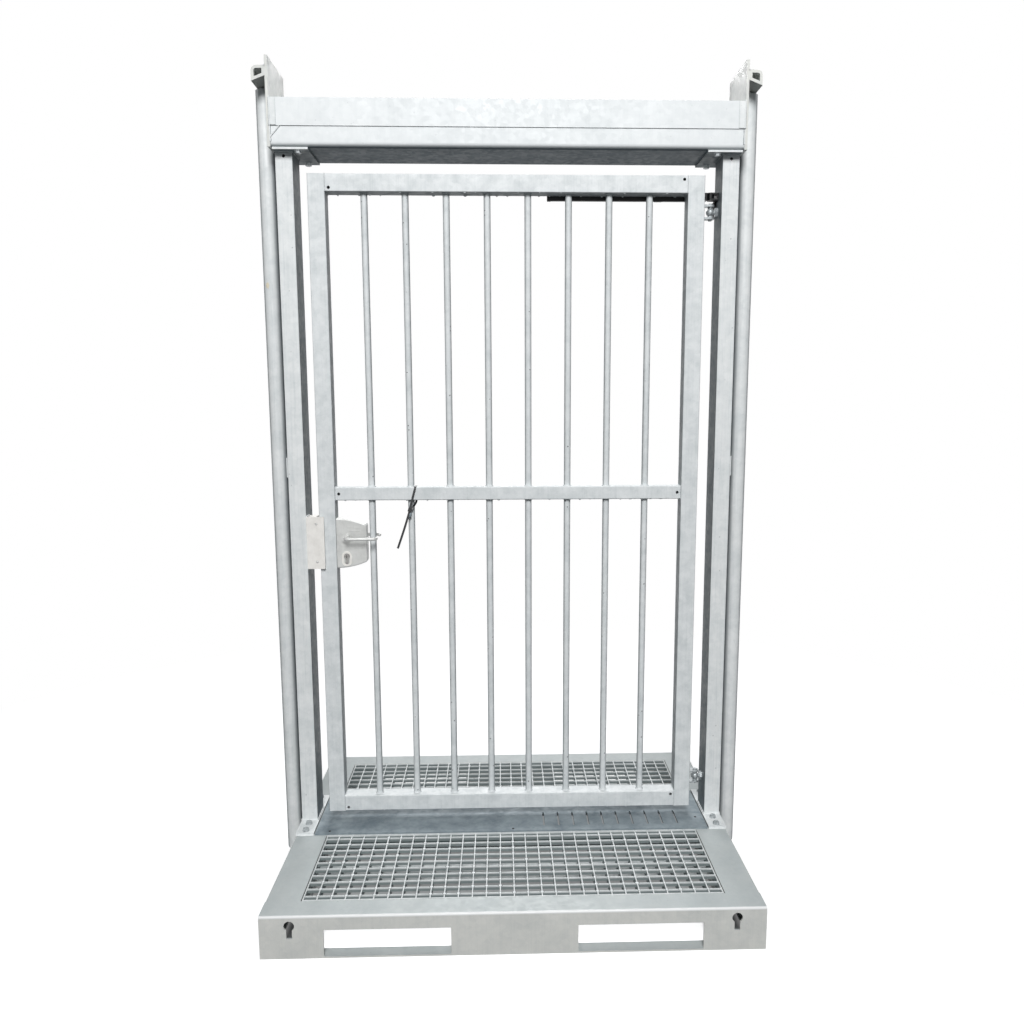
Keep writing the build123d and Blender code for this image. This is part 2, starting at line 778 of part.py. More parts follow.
# Cable tie: its ring round the bar, its head and the loose tail
with BuildPart() as cable_tie:
    tie_x = first_bar_x + bar_pitch * tie_bar_index
    tie_z = mid_rail_bottom - tie_below_mid_rail
    ring_radius = bar_diameter / 2 + weld_gap
    head_y = leaf_centre_y - ring_radius - tie_head / 2
    with BuildSketch(Plane.XY.offset(tie_z - tie_width / 2)):
        with Locations((tie_x, leaf_centre_y)):
            Circle(ring_radius + tie_thickness)
            Circle(ring_radius, mode=Mode.SUBTRACT)
    extrude(amount=tie_width)
    with Locations((tie_x, head_y, tie_z)):
        Box(tie_head, tie_head, tie_head)
    with Locations(Location((tie_x, head_y, tie_z), (0, tie_tail_angle, 0))):
        Box(tie_width, tie_thickness, tie_tail, align=(Align.CENTER, Align.CENTER, Align.MAX))
save(cable_tie.part, "cable_tie")
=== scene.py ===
"""Finish, small parts and studio for a free-standing walk-through gate of galvanised steel."""

import json
import math

import bmesh
import bpy
from bpy.props import FloatProperty, FloatVectorProperty, PointerProperty, StringProperty
from mathutils import Matrix, Vector


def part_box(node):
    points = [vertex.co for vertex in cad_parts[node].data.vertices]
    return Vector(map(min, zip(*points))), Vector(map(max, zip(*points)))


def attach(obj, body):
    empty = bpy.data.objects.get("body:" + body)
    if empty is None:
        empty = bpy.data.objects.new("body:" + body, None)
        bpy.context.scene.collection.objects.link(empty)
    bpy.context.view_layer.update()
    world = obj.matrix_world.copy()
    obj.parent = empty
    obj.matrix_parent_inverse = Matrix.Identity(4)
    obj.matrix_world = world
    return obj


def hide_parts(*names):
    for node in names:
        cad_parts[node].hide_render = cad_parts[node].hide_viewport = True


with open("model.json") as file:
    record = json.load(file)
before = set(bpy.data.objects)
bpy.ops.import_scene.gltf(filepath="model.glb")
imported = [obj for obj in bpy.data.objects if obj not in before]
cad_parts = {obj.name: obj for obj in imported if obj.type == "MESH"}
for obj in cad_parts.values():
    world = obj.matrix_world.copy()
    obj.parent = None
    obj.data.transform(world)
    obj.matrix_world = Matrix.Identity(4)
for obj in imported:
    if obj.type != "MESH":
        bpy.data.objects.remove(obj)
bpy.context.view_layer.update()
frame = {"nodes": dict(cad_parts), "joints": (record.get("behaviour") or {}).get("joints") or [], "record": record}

bl_info = {
    "name": "Walk-through gate finish",
    "version": (1, 0, 0),
    "blender": (4, 5, 0),
    "location": "View3D > Sidebar > Gate",
    "description": "Zinc finishes, welds, bolts and lock fittings for a walk-through gate",
    "category": "Object",
}

MM = 0.001

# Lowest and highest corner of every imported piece, which the small parts are placed from
BOX = {name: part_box(name) for name in frame["nodes"]}


def centre(name):
    """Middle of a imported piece's box."""
    low, high = BOX[name]
    return (low + high) / 2


def linear(hex_colour):
    """Linear RGBA of an sRGB colour written as six hex digits."""
    channels = [int(hex_colour[i:i + 2], 16) / 255 for i in (0, 2, 4)]
    rgb = [c / 12.92 if c <= 0.04045 else ((c + 0.055) / 1.055) ** 2.4 for c in channels]
    return (*rgb, 1.0)


def add_node(tree, kind, inputs=(), **settings):
    """Add a node with its settings and links. The inputs come in order, or by name or number in a
    dictionary. Each is a value, a socket or a node whose first output is linked, or a list of these."""
    made = tree.nodes.new(kind)
    for name, value in settings.items():
        setattr(made, name, value)
    for key, value in inputs.items() if isinstance(inputs, dict) else enumerate(inputs):
        socket = made.inputs[key]
        for item in value if isinstance(value, list) else [value]:
            if isinstance(item, bpy.types.Node):
                item = item.outputs[0]
            if isinstance(item, bpy.types.NodeSocket):
                tree.links.new(item, socket)
            else:
                socket.default_value = item
    return made


# Patterns that the finishes share
RELIEF_STRENGTH = 0.4


def per_metre(size_mm):
    """Texture scale that gives a pattern this size on Object coordinates in metres."""
    return 1000 / size_mm


def patches(tree, place, size_mm, detail, roughness=0.5, low=0.0, high=1.0):
    """Noise whose lumps are about this size, with its values from low to high spread over 0 to 1."""
    inputs = {"Vector": place, "Scale": per_metre(size_mm), "Detail": detail, "Roughness": roughness}
    lumps = add_node(tree, "ShaderNodeTexNoise", inputs)
    return add_node(tree, "ShaderNodeMapRange", (lumps, low, high))


def spots(tree, place, spacing_mm, size_mm, share):
    """Round spots in a share of the cells of a grid of random cells."""
    cells = add_node(tree, "ShaderNodeTexVoronoi", {"Vector": place, "Scale": per_metre(spacing_mm)})
    draw = add_node(tree, "ShaderNodeSeparateColor", (cells.outputs["Color"],)).outputs["Green"]
    edge = size_mm / 2 / spacing_mm
    dot = add_node(tree, "ShaderNodeMapRange", (cells.outputs["Distance"], edge * 0.6, edge, 1.0, 0.0))
    picked = add_node(tree, "ShaderNodeMapRange", (draw, 1 - share, 1 - share + 0.01))
    return add_node(tree, "ShaderNodeMath", (dot, picked), operation="MULTIPLY")


def weighted(tree, *terms):
    """Sum of patterns, each times its share."""
    total = 0.0
    for pattern, share in terms:
        total = add_node(tree, "ShaderNodeMath", (pattern, share, total), operation="MULTIPLY_ADD")
    return total


def layered(tree, colour, *layers):
    """A colour under layers of others, each as strong as its pattern times its share."""
    for pattern, share, hex_colour in layers:
        strength = add_node(tree, "ShaderNodeMath", (pattern, share), operation="MULTIPLY")
        inputs = {0: strength, 6: colour, 7: linear(hex_colour)}
        colour = add_node(tree, "ShaderNodeMix", inputs, data_type="RGBA").outputs[2]
    return colour


def new_surface(name, metallic=0.0, ior=1.5, specular=0.5):
    """A material with a Principled shader, its tree and Object coordinates."""
    material = bpy.data.materials.new(name)
    material.use_nodes = True
    tree = material.node_tree
    tree.nodes.clear()
    inputs = {"Metallic": metallic, "IOR": ior, "Specular IOR Level": specular}
    bsdf = add_node(tree, "ShaderNodeBsdfPrincipled", inputs)
    add_node(tree, "ShaderNodeOutputMaterial", {"Surface": bsdf})
    return tree, bsdf, add_node(tree, "ShaderNodeTexCoord").outputs["Object"]


def finish_surface(tree, bsdf, colour, roughness, height, relief_mm):
    """Link a colour, a roughness and a relief to the shader."""
    inputs = {"Height": height, "Distance": relief_mm * MM, "Strength": RELIEF_STRENGTH}
    bump = add_node(tree, "ShaderNodeBump", inputs)
    tree.links.new(colour, bsdf.inputs["Base Color"])
    tree.links.new(roughness.outputs[0], bsdf.inputs["Roughness"])
    tree.links.new(bump.outputs[0], bsdf.inputs["Normal"])


def finish_two_tone(tree, bsdf, pattern, light, dark, roughness, relief_mm, height=None):
    """One pattern draws the colour, the roughness and, unless a height is given, the relief."""
    colour = layered(tree, linear(light), (pattern, 1.0, dark))
    rough = add_node(tree, "ShaderNodeMapRange", (pattern, 0.0, 1.0, *roughness))
    finish_surface(tree, bsdf, colour, rough, height or pattern, relief_mm)


# Hot-dip galvanised steel: rolled steel dipped in molten zinc. The zinc has weathered to a matt pale
# grey patina over the metal, so the eye sees a soft blue-grey sheen with darker clouds, upright runs,
# faint crystals and small dark flaws.
CRYSTAL_MM = 12.0
CRYSTAL_SHARE = 0.12
RUN_WIDTH_MM = 7.0
RUN_LENGTH_MM = 190.0
FLAW_SPACING_MM = 26.0
FLAW_MM = 5.0
FLAWED_SHARE = 0.22
FLAW_SHIFT_MM = 4.0
GRIT_MM = 2.4
GRIT_SHARE = 0.12
ZINC_RELIEF_MM = 0.35
PATINA_METALLIC = 0.04
PATINA_SPECULAR = 0.18
# Blue-grey of the painted shade on faces that look sideways or down
PAINTED_SHADE_ZINC = "46535A"


def painted_shade_faces(tree):
    """1 on faces that look sideways or down, on the part as it stands in its closed place, where shade is painted.
    """
    normal = add_node(tree, "ShaderNodeTexCoord").outputs["Normal"]
    axes = add_node(tree, "ShaderNodeSeparateXYZ", (normal,)).outputs
    across = add_node(tree, "ShaderNodeMath", (axes["X"],), operation="ABSOLUTE")
    sideways = add_node(tree, "ShaderNodeMapRange", (across, 0.6, 0.97))
    down = add_node(tree, "ShaderNodeMapRange", (axes["Z"], -0.3, -0.9))
    return add_node(tree, "ShaderNodeMath", (sideways, down), operation="MAXIMUM")


def galvanised(
    name, light, dark, stain, cloud_mm=60.0, clouds=0.4, runs=0.3, flaws=0.5,
    rough=0.5, painted_side_shade=0.6, shade=None,
):
    """Zinc coat from its light, dark and stained colours, how strong each pattern is on it, how strong
    the painted shade on its faces that look sideways or down is, and a last step that may change the colour by
    place."""
    tree, bsdf, place = new_surface(name, metallic=PATINA_METALLIC, specular=PATINA_SPECULAR)
    cells = add_node(tree, "ShaderNodeTexVoronoi", {"Vector": place, "Scale": per_metre(CRYSTAL_MM)})
    crystal = add_node(tree, "ShaderNodeSeparateColor", (cells.outputs["Color"],))
    cloud = patches(tree, place, cloud_mm, detail=5.0, roughness=0.62, low=0.36, high=0.68)
    stretch = (1, 1, RUN_WIDTH_MM / RUN_LENGTH_MM)
    upright = add_node(tree, "ShaderNodeMapping", {"Vector": place, "Scale": stretch})
    run = patches(tree, upright, RUN_WIDTH_MM, detail=3.0, roughness=0.6, low=0.48, high=0.74)
    grit = patches(tree, place, GRIT_MM, detail=2.0)
    # A flaw is a spot whose outline the grit breaks up
    shift = add_node(tree, "ShaderNodeCombineXYZ", (grit, run, grit))
    shift = add_node(tree, "ShaderNodeVectorMath", {0: shift, "Scale": FLAW_SHIFT_MM * MM}, operation="SCALE")
    broken = add_node(tree, "ShaderNodeVectorMath", (place, shift), operation="ADD")
    flaw = spots(tree, broken, FLAW_SPACING_MM, FLAW_MM, FLAWED_SHARE)

    # Faces that look sideways or down get a painted shade of deep blue-grey
    tone = weighted(tree, (cloud, clouds), (crystal, CRYSTAL_SHARE), (run, runs), (grit, GRIT_SHARE))
    layers = ((tone, 1.0, dark), (flaw, flaws, stain), (painted_shade_faces(tree), painted_side_shade, PAINTED_SHADE_ZINC))
    colour = layered(tree, linear(light), *layers)
    if shade:
        colour = shade(tree, add_node(tree, "ShaderNodeSeparateXYZ", (place,)).outputs, colour)
    coarse = weighted(tree, (tone, 1.0), (crystal, 1.0))
    roughness = add_node(tree, "ShaderNodeMapRange", (coarse, 0.0, 1.6, rough - 0.12, rough + 0.16))
    height = weighted(tree, (grit, 0.5), (cloud, 1.0), (flaw, -0.8))
    finish_surface(tree, bsdf, colour, roughness, height, ZINC_RELIEF_MM)


def painted_shade_below_tread(tree, axes, colour):
    """The grating's bars keep their top edges pale, and their sides below get a painted shade, as down in the
    cells.
    """
    tread = BOX["front_grating"][1].z
    below_edge = add_node(tree, "ShaderNodeMapRange", (axes["Z"], tread - 5 * MM, tread - 3 * MM, 1.0, 0.0))
    return layered(tree, colour, (below_edge, 0.92, "7F8A8B"))


def level_tint_and_fold_highlight(tree, axes, colour):
    """The base's level top is mixed toward a cooler, darker grey, and its outer fold gets a painted highlight."""
    low, high = BOX["base_front_rail"]
    fold_start, fold_end = 7 * MM, 4 * MM
    normal = add_node(tree, "ShaderNodeTexCoord").outputs["Normal"]
    facing = add_node(tree, "ShaderNodeSeparateXYZ", (normal,)).outputs["Z"]
    level = add_node(tree, "ShaderNodeMapRange", (facing, 0.8, 0.98))
    from_middle = add_node(tree, "ShaderNodeMath", (axes["Y"],), operation="ABSOLUTE")
    out = add_node(tree, "ShaderNodeMapRange", (from_middle, -low.y - fold_start, -low.y - fold_end))
    up = add_node(tree, "ShaderNodeMapRange", (axes["Z"], high.z - fold_start, high.z - fold_end))
    fold_highlight = add_node(tree, "ShaderNodeMath", (out, up), operation="MULTIPLY")
    return layered(tree, colour, (level, 0.55, "A3B0B5"), (fold_highlight, 1.0, "FAFBFB"))


def zinc_plated(name):
    """Electroplated zinc on bolts and hinges: a thin coat, smoother and more metallic than the dipped one."""
    tree, bsdf, place = new_surface(name, metallic=0.35)
    wear = patches(tree, place, 6.0, detail=4.0, roughness=0.65, low=0.4, high=0.7)
    finish_two_tone(tree, bsdf, wear, "C4C9CB", "82898C", (0.28, 0.5), 0.15)


# Real brush lines are 0.1 mm wide. They are drawn ten times as wide so that they show.
BRUSH_LINE_MM = 1.0
BRUSH_LENGTH_MM = 30.0


def satin_aluminium(name, light, dark):
    """Cast and anodised aluminium of the lock: light grey, fine upright brush lines, no hard glare."""
    tree, bsdf, place = new_surface(name, metallic=0.35)
    stretch = (1, 1, BRUSH_LINE_MM / BRUSH_LENGTH_MM)
    upright = add_node(tree, "ShaderNodeMapping", {"Vector": place, "Scale": stretch})
    lines = patches(tree, upright, BRUSH_LINE_MM, detail=3.0)
    smear = patches(tree, place, 26.0, detail=4.0, roughness=0.6, low=0.42, high=0.75)
    tone = weighted(tree, (lines, 0.4), (smear, 0.3))
    contrast = add_node(tree, "ShaderNodeMapRange", (tone, 0.1, 0.9))
    colour = layered(tree, linear(light), (contrast, 1.0, dark))
    roughness = add_node(tree, "ShaderNodeMapRange", (tone, 0.0, 1.0, 0.36, 0.52))
    finish_surface(tree, bsdf, colour, roughness, lines, 0.05)


def satin_nickel(name):
    """Nickel-plated brass of the lock cylinder: darker than the case, more metallic, and key-scratched."""
    tree, bsdf, place = new_surface(name, metallic=0.9)
    scratch = patches(tree, place, 2.2, detail=5.0, roughness=0.7, low=0.45, high=0.7)
    finish_two_tone(tree, bsdf, scratch, "A3A2A0", "646362", (0.28, 0.42), 0.05)


def black_powder_coat(name):
    """Polyester powder coat of the closer: near black, semi-gloss, with a fine orange peel and some dust."""
    tree, bsdf, place = new_surface(name, specular=0.3)
    dust = patches(tree, place, 30.0, detail=4.0, roughness=0.6, low=0.45, high=0.75)
    peel = patches(tree, place, 1.8, detail=2.0)
    finish_two_tone(tree, bsdf, dust, "07080A", "15181B", (0.42, 0.62), 0.12, peel)


def black_nylon(name):
    """Moulded nylon of the cable tie: black and dull, greyer where the sun has bleached it."""
    tree, bsdf, place = new_surface(name, ior=1.53)
    bleach = patches(tree, place, 12.0, detail=3.0, low=0.4, high=0.75)
    finish_two_tone(tree, bsdf, bleach, "0D0E10", "212326", (0.4, 0.58), 0.1)


def painted_recess_shade(name):
    """Dark oxidised metal deep in a key slot or a screw's socket, drawn near black as painted shade, since hardly
    any light comes back out.
    """
    tree, bsdf, place = new_surface(name, metallic=0.1)
    mottle = patches(tree, place, 1.5, detail=3.0)
    finish_two_tone(tree, bsdf, mottle, "141413", "33312F", (0.6, 0.8), 0.1)


def old_paint(name):
    """A dab of cream paint that once splashed on the zinc: matt, with a worn rim."""
    tree, bsdf, place = new_surface(name)
    worn = patches(tree, place, 5.0, detail=3.0, low=0.4, high=0.7)
    finish_two_tone(tree, bsdf, worn, "F1E9D2", "D5CDB8", (0.6, 0.8), 0.2)


# Light and dark colour of the zinc on each part of the gate, as sRGB hex digits
ZINC_COLOURS = {
    "posts": ("FAFCFC", "C8D0D2"),
    "header": ("F6F9FA", "DCE2E4"),
    "leaf": ("F5F8F9", "BFC7C9"),
    "base": ("EEEEE9", "C2C7C6"),
    "threshold": ("A0ABB1", "626F77"),
    "gratings": ("F2F5F5", "C2CACB"),
}

# Label, description and millimetres of each size of the small parts
SMALL_SIZES = {
    "weld": ("Weld", "Half the width of a weld bead", 3.0),
    "ripple": ("Ripple", "Step of a bead's ripples", 4.0),
    "bolt": ("Bolt", "Width of a bolt's head over its flats", 17.0),
    "bolt_head": ("Bolt head", "Height of a bolt's head", 6.4),
    "washer": ("Washer", "Diameter of a bolt's washer", 22.0),
    "screw": ("Screw", "Diameter of a small screw's head", 8.0),
    "pool": ("Zinc pool", "Width of a pool on the gratings", 10.5),
    "end_strip": ("End strip", "Width of the header's end strips", 18.0),
    "tie_width": ("Cable tie", "Width of the cable tie", 6.6),
}


class GateColours(bpy.types.PropertyGroup):
    """Colours of the zinc coat, as sRGB hex digits."""

    __annotations__ = {
        f"{part}_{tone}": StringProperty(
            name=f"{part.capitalize()}, {tone}",
            description=f"The {tone} colour of the {part}",
            default=colour,
        )
        for part, colours in ZINC_COLOURS.items() for tone, colour in zip(("light", "dark"), colours)
    } | {"stain": StringProperty(name="Flaws", description="Small dark flaws in the zinc", default="5B6265")}


class GateSizes(bpy.types.PropertyGroup):
    """Sizes of the small parts."""

    __annotations__ = {
        name: FloatProperty(name=label, description=description, default=size * MM, unit="LENGTH")
        for name, (label, description, size) in SMALL_SIZES.items()
    }


class GateStudio(bpy.types.PropertyGroup):
    """Camera and light."""

    key_power: FloatProperty(
        name="Front lamp", description="Power of the big front lamp", default=440.0, unit="POWER"
    )
    rear_power: FloatProperty(
        name="Rear lamp", description="Power of the lamp behind", default=250.0, unit="POWER"
    )
    world_level: FloatProperty(
        name="World", description="Light from all round", default=0.13, min=0.0, max=1.0
    )
    focal_pixels: FloatProperty(
        name="Focal length", description="Focal length in image pixels", default=864.1
    )
    camera_place: FloatVectorProperty(
        name="Camera", description="Place of the camera", default=(-0.0302, -2.6138, 1.4528),
        subtype="TRANSLATION",
    )
    camera_turn: FloatVectorProperty(
        name="Turn", description="Tilt down, roll and turn to the right", default=(0.1435, 0.0018, 0.0305),
        subtype="EULER",
    )


# Node trees for what repeats along edges and on points
FLOAT = "NodeSocketFloat"
INTEGER = "NodeSocketInt"
VECTOR = "NodeSocketVector"
STEPS_PER_RIPPLE = 2.5
UNEVEN_BEAD_MM = 1000 / 60


def new_geometry_tree(name, sockets):
    """An empty Geometry Nodes tree with a geometry, a material and the given inputs."""
    tree = bpy.data.node_groups.new(name, "GeometryNodeTree")
    inputs = [("Geometry", "NodeSocketGeometry"), ("Material", "NodeSocketMaterial"), *sockets]
    for label, kind in inputs:
        tree.interface.new_socket(label, in_out="INPUT", socket_type=kind)
    tree.interface.new_socket("Geometry", in_out="OUTPUT", socket_type="NodeSocketGeometry")
    return tree, add_node(tree, "NodeGroupInput").outputs


def close_geometry_tree(tree, geometry, material, smooth):
    """End a tree by realizing its instances, shading them and giving them their material."""
    real = add_node(tree, "GeometryNodeRealizeInstances", (geometry,))
    shaded = add_node(tree, "GeometryNodeSetShadeSmooth", {"Geometry": real, "Shade Smooth": smooth})
    finished = add_node(tree, "GeometryNodeSetMaterial", {"Geometry": shaded, "Material": material})
    add_node(tree, "NodeGroupOutput", (finished,))
    return tree


def bead_tree():
    """Weld bead along every edge of a mesh: a round bead with ripples and an uneven width."""
    sockets = [("Radius", FLOAT), ("Ripple", FLOAT), ("Depth", FLOAT), ("Seed", INTEGER)]
    tree, source = new_geometry_tree("weld_bead", sockets)
    line = add_node(tree, "GeometryNodeMeshToCurve", {"Mesh": source["Geometry"]})
    step = add_node(tree, "ShaderNodeMath", (source["Ripple"], STEPS_PER_RIPPLE), operation="DIVIDE")
    fine = add_node(tree, "GeometryNodeResampleCurve", {"Curve": line, "Length": step}, mode="LENGTH")
    run = add_node(tree, "GeometryNodeSplineParameter").outputs["Length"]
    ripples = add_node(tree, "ShaderNodeMath", (run, source["Ripple"]), operation="DIVIDE")
    phase = add_node(tree, "ShaderNodeMath", (ripples, math.tau), operation="MULTIPLY")
    wave = add_node(tree, "ShaderNodeMath", (phase,), operation="SINE")
    wave = add_node(tree, "ShaderNodeMath", (wave, source["Depth"]), operation="MULTIPLY")
    place = add_node(tree, "GeometryNodeInputPosition")
    inputs = {"W": source["Seed"], "Vector": place, "Scale": per_metre(UNEVEN_BEAD_MM)}
    uneven = add_node(tree, "ShaderNodeTexNoise", inputs, noise_dimensions="4D")
    width = add_node(tree, "ShaderNodeMath", (uneven, 0.5), operation="ADD")
    width = add_node(tree, "ShaderNodeMath", (width, wave), operation="ADD")
    radius = add_node(tree, "ShaderNodeMath", (source["Radius"], width), operation="MULTIPLY")
    ring = add_node(tree, "GeometryNodeCurvePrimitiveCircle", {"Resolution": 6, "Radius": 1.0})
    inputs = {"Curve": fine, "Profile Curve": ring, "Scale": radius, "Fill Caps": True}
    bead = add_node(tree, "GeometryNodeCurveToMesh", inputs)
    return close_geometry_tree(tree, bead, source["Material"], True)


def hexagon_tree():
    """Hexagon head on a washer, on every vertex of a mesh, each turned at random about its own axis."""
    sockets = [("Flats", FLOAT), ("Height", FLOAT), ("Washer", FLOAT), ("Turn", VECTOR), ("Seed", INTEGER)]
    tree, source = new_geometry_tree("hexagon_bolt", sockets)
    corner = add_node(tree, "ShaderNodeMath", (source["Flats"], math.sqrt(3)), operation="DIVIDE")
    head_top = add_node(tree, "ShaderNodeMath", (corner, 0.92), operation="MULTIPLY")
    washer_height = add_node(tree, "ShaderNodeMath", (source["Height"], 0.3), operation="MULTIPLY")
    washer_radius = add_node(tree, "ShaderNodeMath", (source["Washer"], 2.0), operation="DIVIDE")
    washer_top = add_node(tree, "ShaderNodeMath", (washer_radius, 0.94), operation="MULTIPLY")
    inputs = {"Vertices": 6, "Radius Top": head_top, "Radius Bottom": corner, "Depth": source["Height"]}
    head = add_node(tree, "GeometryNodeMeshCone", inputs)
    raised = add_node(tree, "ShaderNodeCombineXYZ", {"Z": washer_height})
    head = add_node(tree, "GeometryNodeTransform", {"Geometry": head, "Translation": raised})
    inputs = {
        "Vertices": 20, "Radius Top": washer_top, "Radius Bottom": washer_radius, "Depth": washer_height,
    }
    washer = add_node(tree, "GeometryNodeMeshCone", inputs)
    bolt = add_node(tree, "GeometryNodeJoinGeometry", ([head, washer],))
    inputs = {"Points": source["Geometry"], "Instance": bolt, "Rotation": source["Turn"]}
    placed = add_node(tree, "GeometryNodeInstanceOnPoints", inputs)
    spin = add_node(tree, "FunctionNodeRandomValue", {"Seed": source["Seed"]}, data_type="FLOAT").outputs[1]
    spin = add_node(tree, "ShaderNodeMath", (spin, math.pi), operation="MULTIPLY")
    about = add_node(tree, "ShaderNodeCombineXYZ", {"Z": spin})
    inputs = {"Instances": placed, "Rotation": about, "Local Space": True}
    turned = add_node(tree, "GeometryNodeRotateInstances", inputs)
    return close_geometry_tree(tree, turned, source["Material"], False)


def button_tree():
    """Low round button, as a screw head or a pool of zinc, on every vertex of a mesh."""
    sockets = [("Width", FLOAT), ("Height", FLOAT), ("Uneven", FLOAT), ("Turn", VECTOR), ("Seed", INTEGER)]
    tree, source = new_geometry_tree("round_button", sockets)
    half = add_node(tree, "ShaderNodeMath", (source["Width"], 2.0), operation="DIVIDE")
    top = add_node(tree, "ShaderNodeMath", (half, 0.6), operation="MULTIPLY")
    inputs = {"Vertices": 10, "Radius Top": top, "Radius Bottom": half, "Depth": source["Height"]}
    dome = add_node(tree, "GeometryNodeMeshCone", inputs)
    inputs = {0: (0.6, 0.6, 0.6), 1: (1.3, 1.15, 1.2), "Seed": source["Seed"]}
    size = add_node(tree, "FunctionNodeRandomValue", inputs, data_type="FLOAT_VECTOR")
    inputs = {0: source["Uneven"], 4: (1, 1, 1), 5: size}
    size = add_node(tree, "ShaderNodeMix", inputs, data_type="VECTOR").outputs[1]
    inputs = {"Points": source["Geometry"], "Instance": dome, "Rotation": source["Turn"], "Scale": size}
    placed = add_node(tree, "GeometryNodeInstanceOnPoints", inputs)
    return close_geometry_tree(tree, placed, source["Material"], True)


def drip_tree():
    """Frozen zinc drips that hang at random places along every edge of a mesh."""
    sockets = [("Spacing", FLOAT), ("Width", FLOAT), ("Length", FLOAT), ("Share", FLOAT), ("Seed", INTEGER)]
    tree, source = new_geometry_tree("zinc_drip", sockets)
    line = add_node(tree, "GeometryNodeMeshToCurve", {"Mesh": source["Geometry"]})
    inputs = {"Curve": line, "Length": source["Spacing"]}
    places = add_node(tree, "GeometryNodeCurveToPoints", inputs, mode="LENGTH")
    drop = add_node(tree, "GeometryNodeMeshUVSphere", {"Segments": 8, "Rings": 6, "Radius": 0.5})
    inputs = {"Probability": source["Share"], "Seed": source["Seed"]}
    picked = add_node(tree, "FunctionNodeRandomValue", inputs, data_type="BOOLEAN").outputs[3]
    thin = add_node(tree, "ShaderNodeMath", (source["Width"], 0.6), operation="MULTIPLY")
    shape = add_node(tree, "ShaderNodeCombineXYZ", (source["Width"], thin, source["Length"]))
    inputs = {0: (0.5, 0.6, 0.35), 1: (1.3, 1.1, 1.2), "Seed": source["Seed"]}
    size = add_node(tree, "FunctionNodeRandomValue", inputs, data_type="FLOAT_VECTOR")
    size = add_node(tree, "ShaderNodeVectorMath", (shape, size), operation="MULTIPLY")
    inputs = {"Points": places, "Selection": picked, "Instance": drop, "Scale": size}
    placed = add_node(tree, "GeometryNodeInstanceOnPoints", inputs)
    return close_geometry_tree(tree, placed, source["Material"], True)


def grow(name, tree, body, slot, finish, outline, **inputs):
    """Run a tree on an outline's points and edges, and let the mesh that comes out ride on a body."""
    seed_mesh = bpy.data.meshes.new(name + "_seed")
    seed_mesh.from_pydata(outline.vertices, outline.edges, [])
    piece = bpy.data.objects.new(name, seed_mesh)
    bpy.context.scene.collection.objects.link(piece)
    modifier = piece.modifiers.new("grow", "NODES")
    modifier.node_group = tree
    values = {"Material": bpy.data.materials[finish], **inputs}
    for item in tree.interface.items_tree:
        if item.in_out == "INPUT" and item.name in values:
            modifier[item.identifier] = values[item.name]
    graph = bpy.context.evaluated_depsgraph_get()
    mesh = bpy.data.meshes.new_from_object(piece.evaluated_get(graph), depsgraph=graph)
    piece.modifiers.clear()
    piece.data = mesh
    mesh.name = name
    bpy.data.meshes.remove(seed_mesh)
    if not mesh.polygons:
        raise RuntimeError(f"{name} came out empty")
    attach(piece, body)


# Faces that meet at less than this are shaded as one smooth surface
SMOOTH_ANGLE = math.radians(40)


def keep_mesh(name, mesh, body, finish):
    """Turn a bmesh into a piece at the origin that rides on a body."""
    bmesh.ops.remove_doubles(mesh, verts=mesh.verts, dist=1e-6)
    bmesh.ops.recalc_face_normals(mesh, faces=mesh.faces)
    data = bpy.data.meshes.new(name)
    mesh.to_mesh(data)
    mesh.free()
    data.materials.append(bpy.data.materials[finish])
    data.polygons.foreach_set("use_smooth", [True] * len(data.polygons))
    data.set_sharp_from_angle(angle=SMOOTH_ANGLE)
    piece = bpy.data.objects.new(name, data)
    bpy.context.scene.collection.objects.link(piece)
    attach(piece, body)
    return piece


RING_POINTS = 16


class Outline:
    """Points and edges that a tree grows along."""

    def __init__(self, points=()):
        self.vertices = list(points)
        self.edges = []

    def line(self, *points, closed=False):
        """Add a run through some points."""
        first = len(self.vertices)
        self.vertices += points
        self.edges += [(first + i, first + i + 1) for i in range(len(points) - 1)]
        if closed:
            self.edges.append((len(self.vertices) - 1, first))

    def level_rectangle(self, low, high, z):
        """Add a level rectangle between two corners."""
        self.line((low.x, low.y, z), (high.x, low.y, z), (high.x, high.y, z), (low.x, high.y, z), closed=True)

    def upright_rectangle(self, x, low, high):
        """Add a rectangle that faces sideways between two corners."""
        self.line((x, low.y, low.z), (x, high.y, low.z), (x, high.y, high.z), (x, low.y, high.z), closed=True)

    def ring(self, x, y, z, radius):
        """Add a level circle."""
        angles = [math.tau * i / RING_POINTS for i in range(RING_POINTS)]
        self.line(*((x + radius * math.cos(a), y + radius * math.sin(a), z) for a in angles), closed=True)


# The round bars' places, from the row's box and the pitch between bars
BAR_LOW, BAR_HIGH = BOX["leaf_bars"]
BAR_RADIUS = (BAR_HIGH.y - BAR_LOW.y) / 2
BAR_PITCH = 119.6 * MM
BAR_COUNT = round((BAR_HIGH.x - BAR_LOW.x) / BAR_PITCH) + 1
BAR_PLACES = [BAR_LOW.x + BAR_RADIUS + BAR_PITCH * i for i in range(BAR_COUNT)]
LEAF_RAILS = ("leaf_top_rail", "leaf_mid_rail", "leaf_bottom_rail")


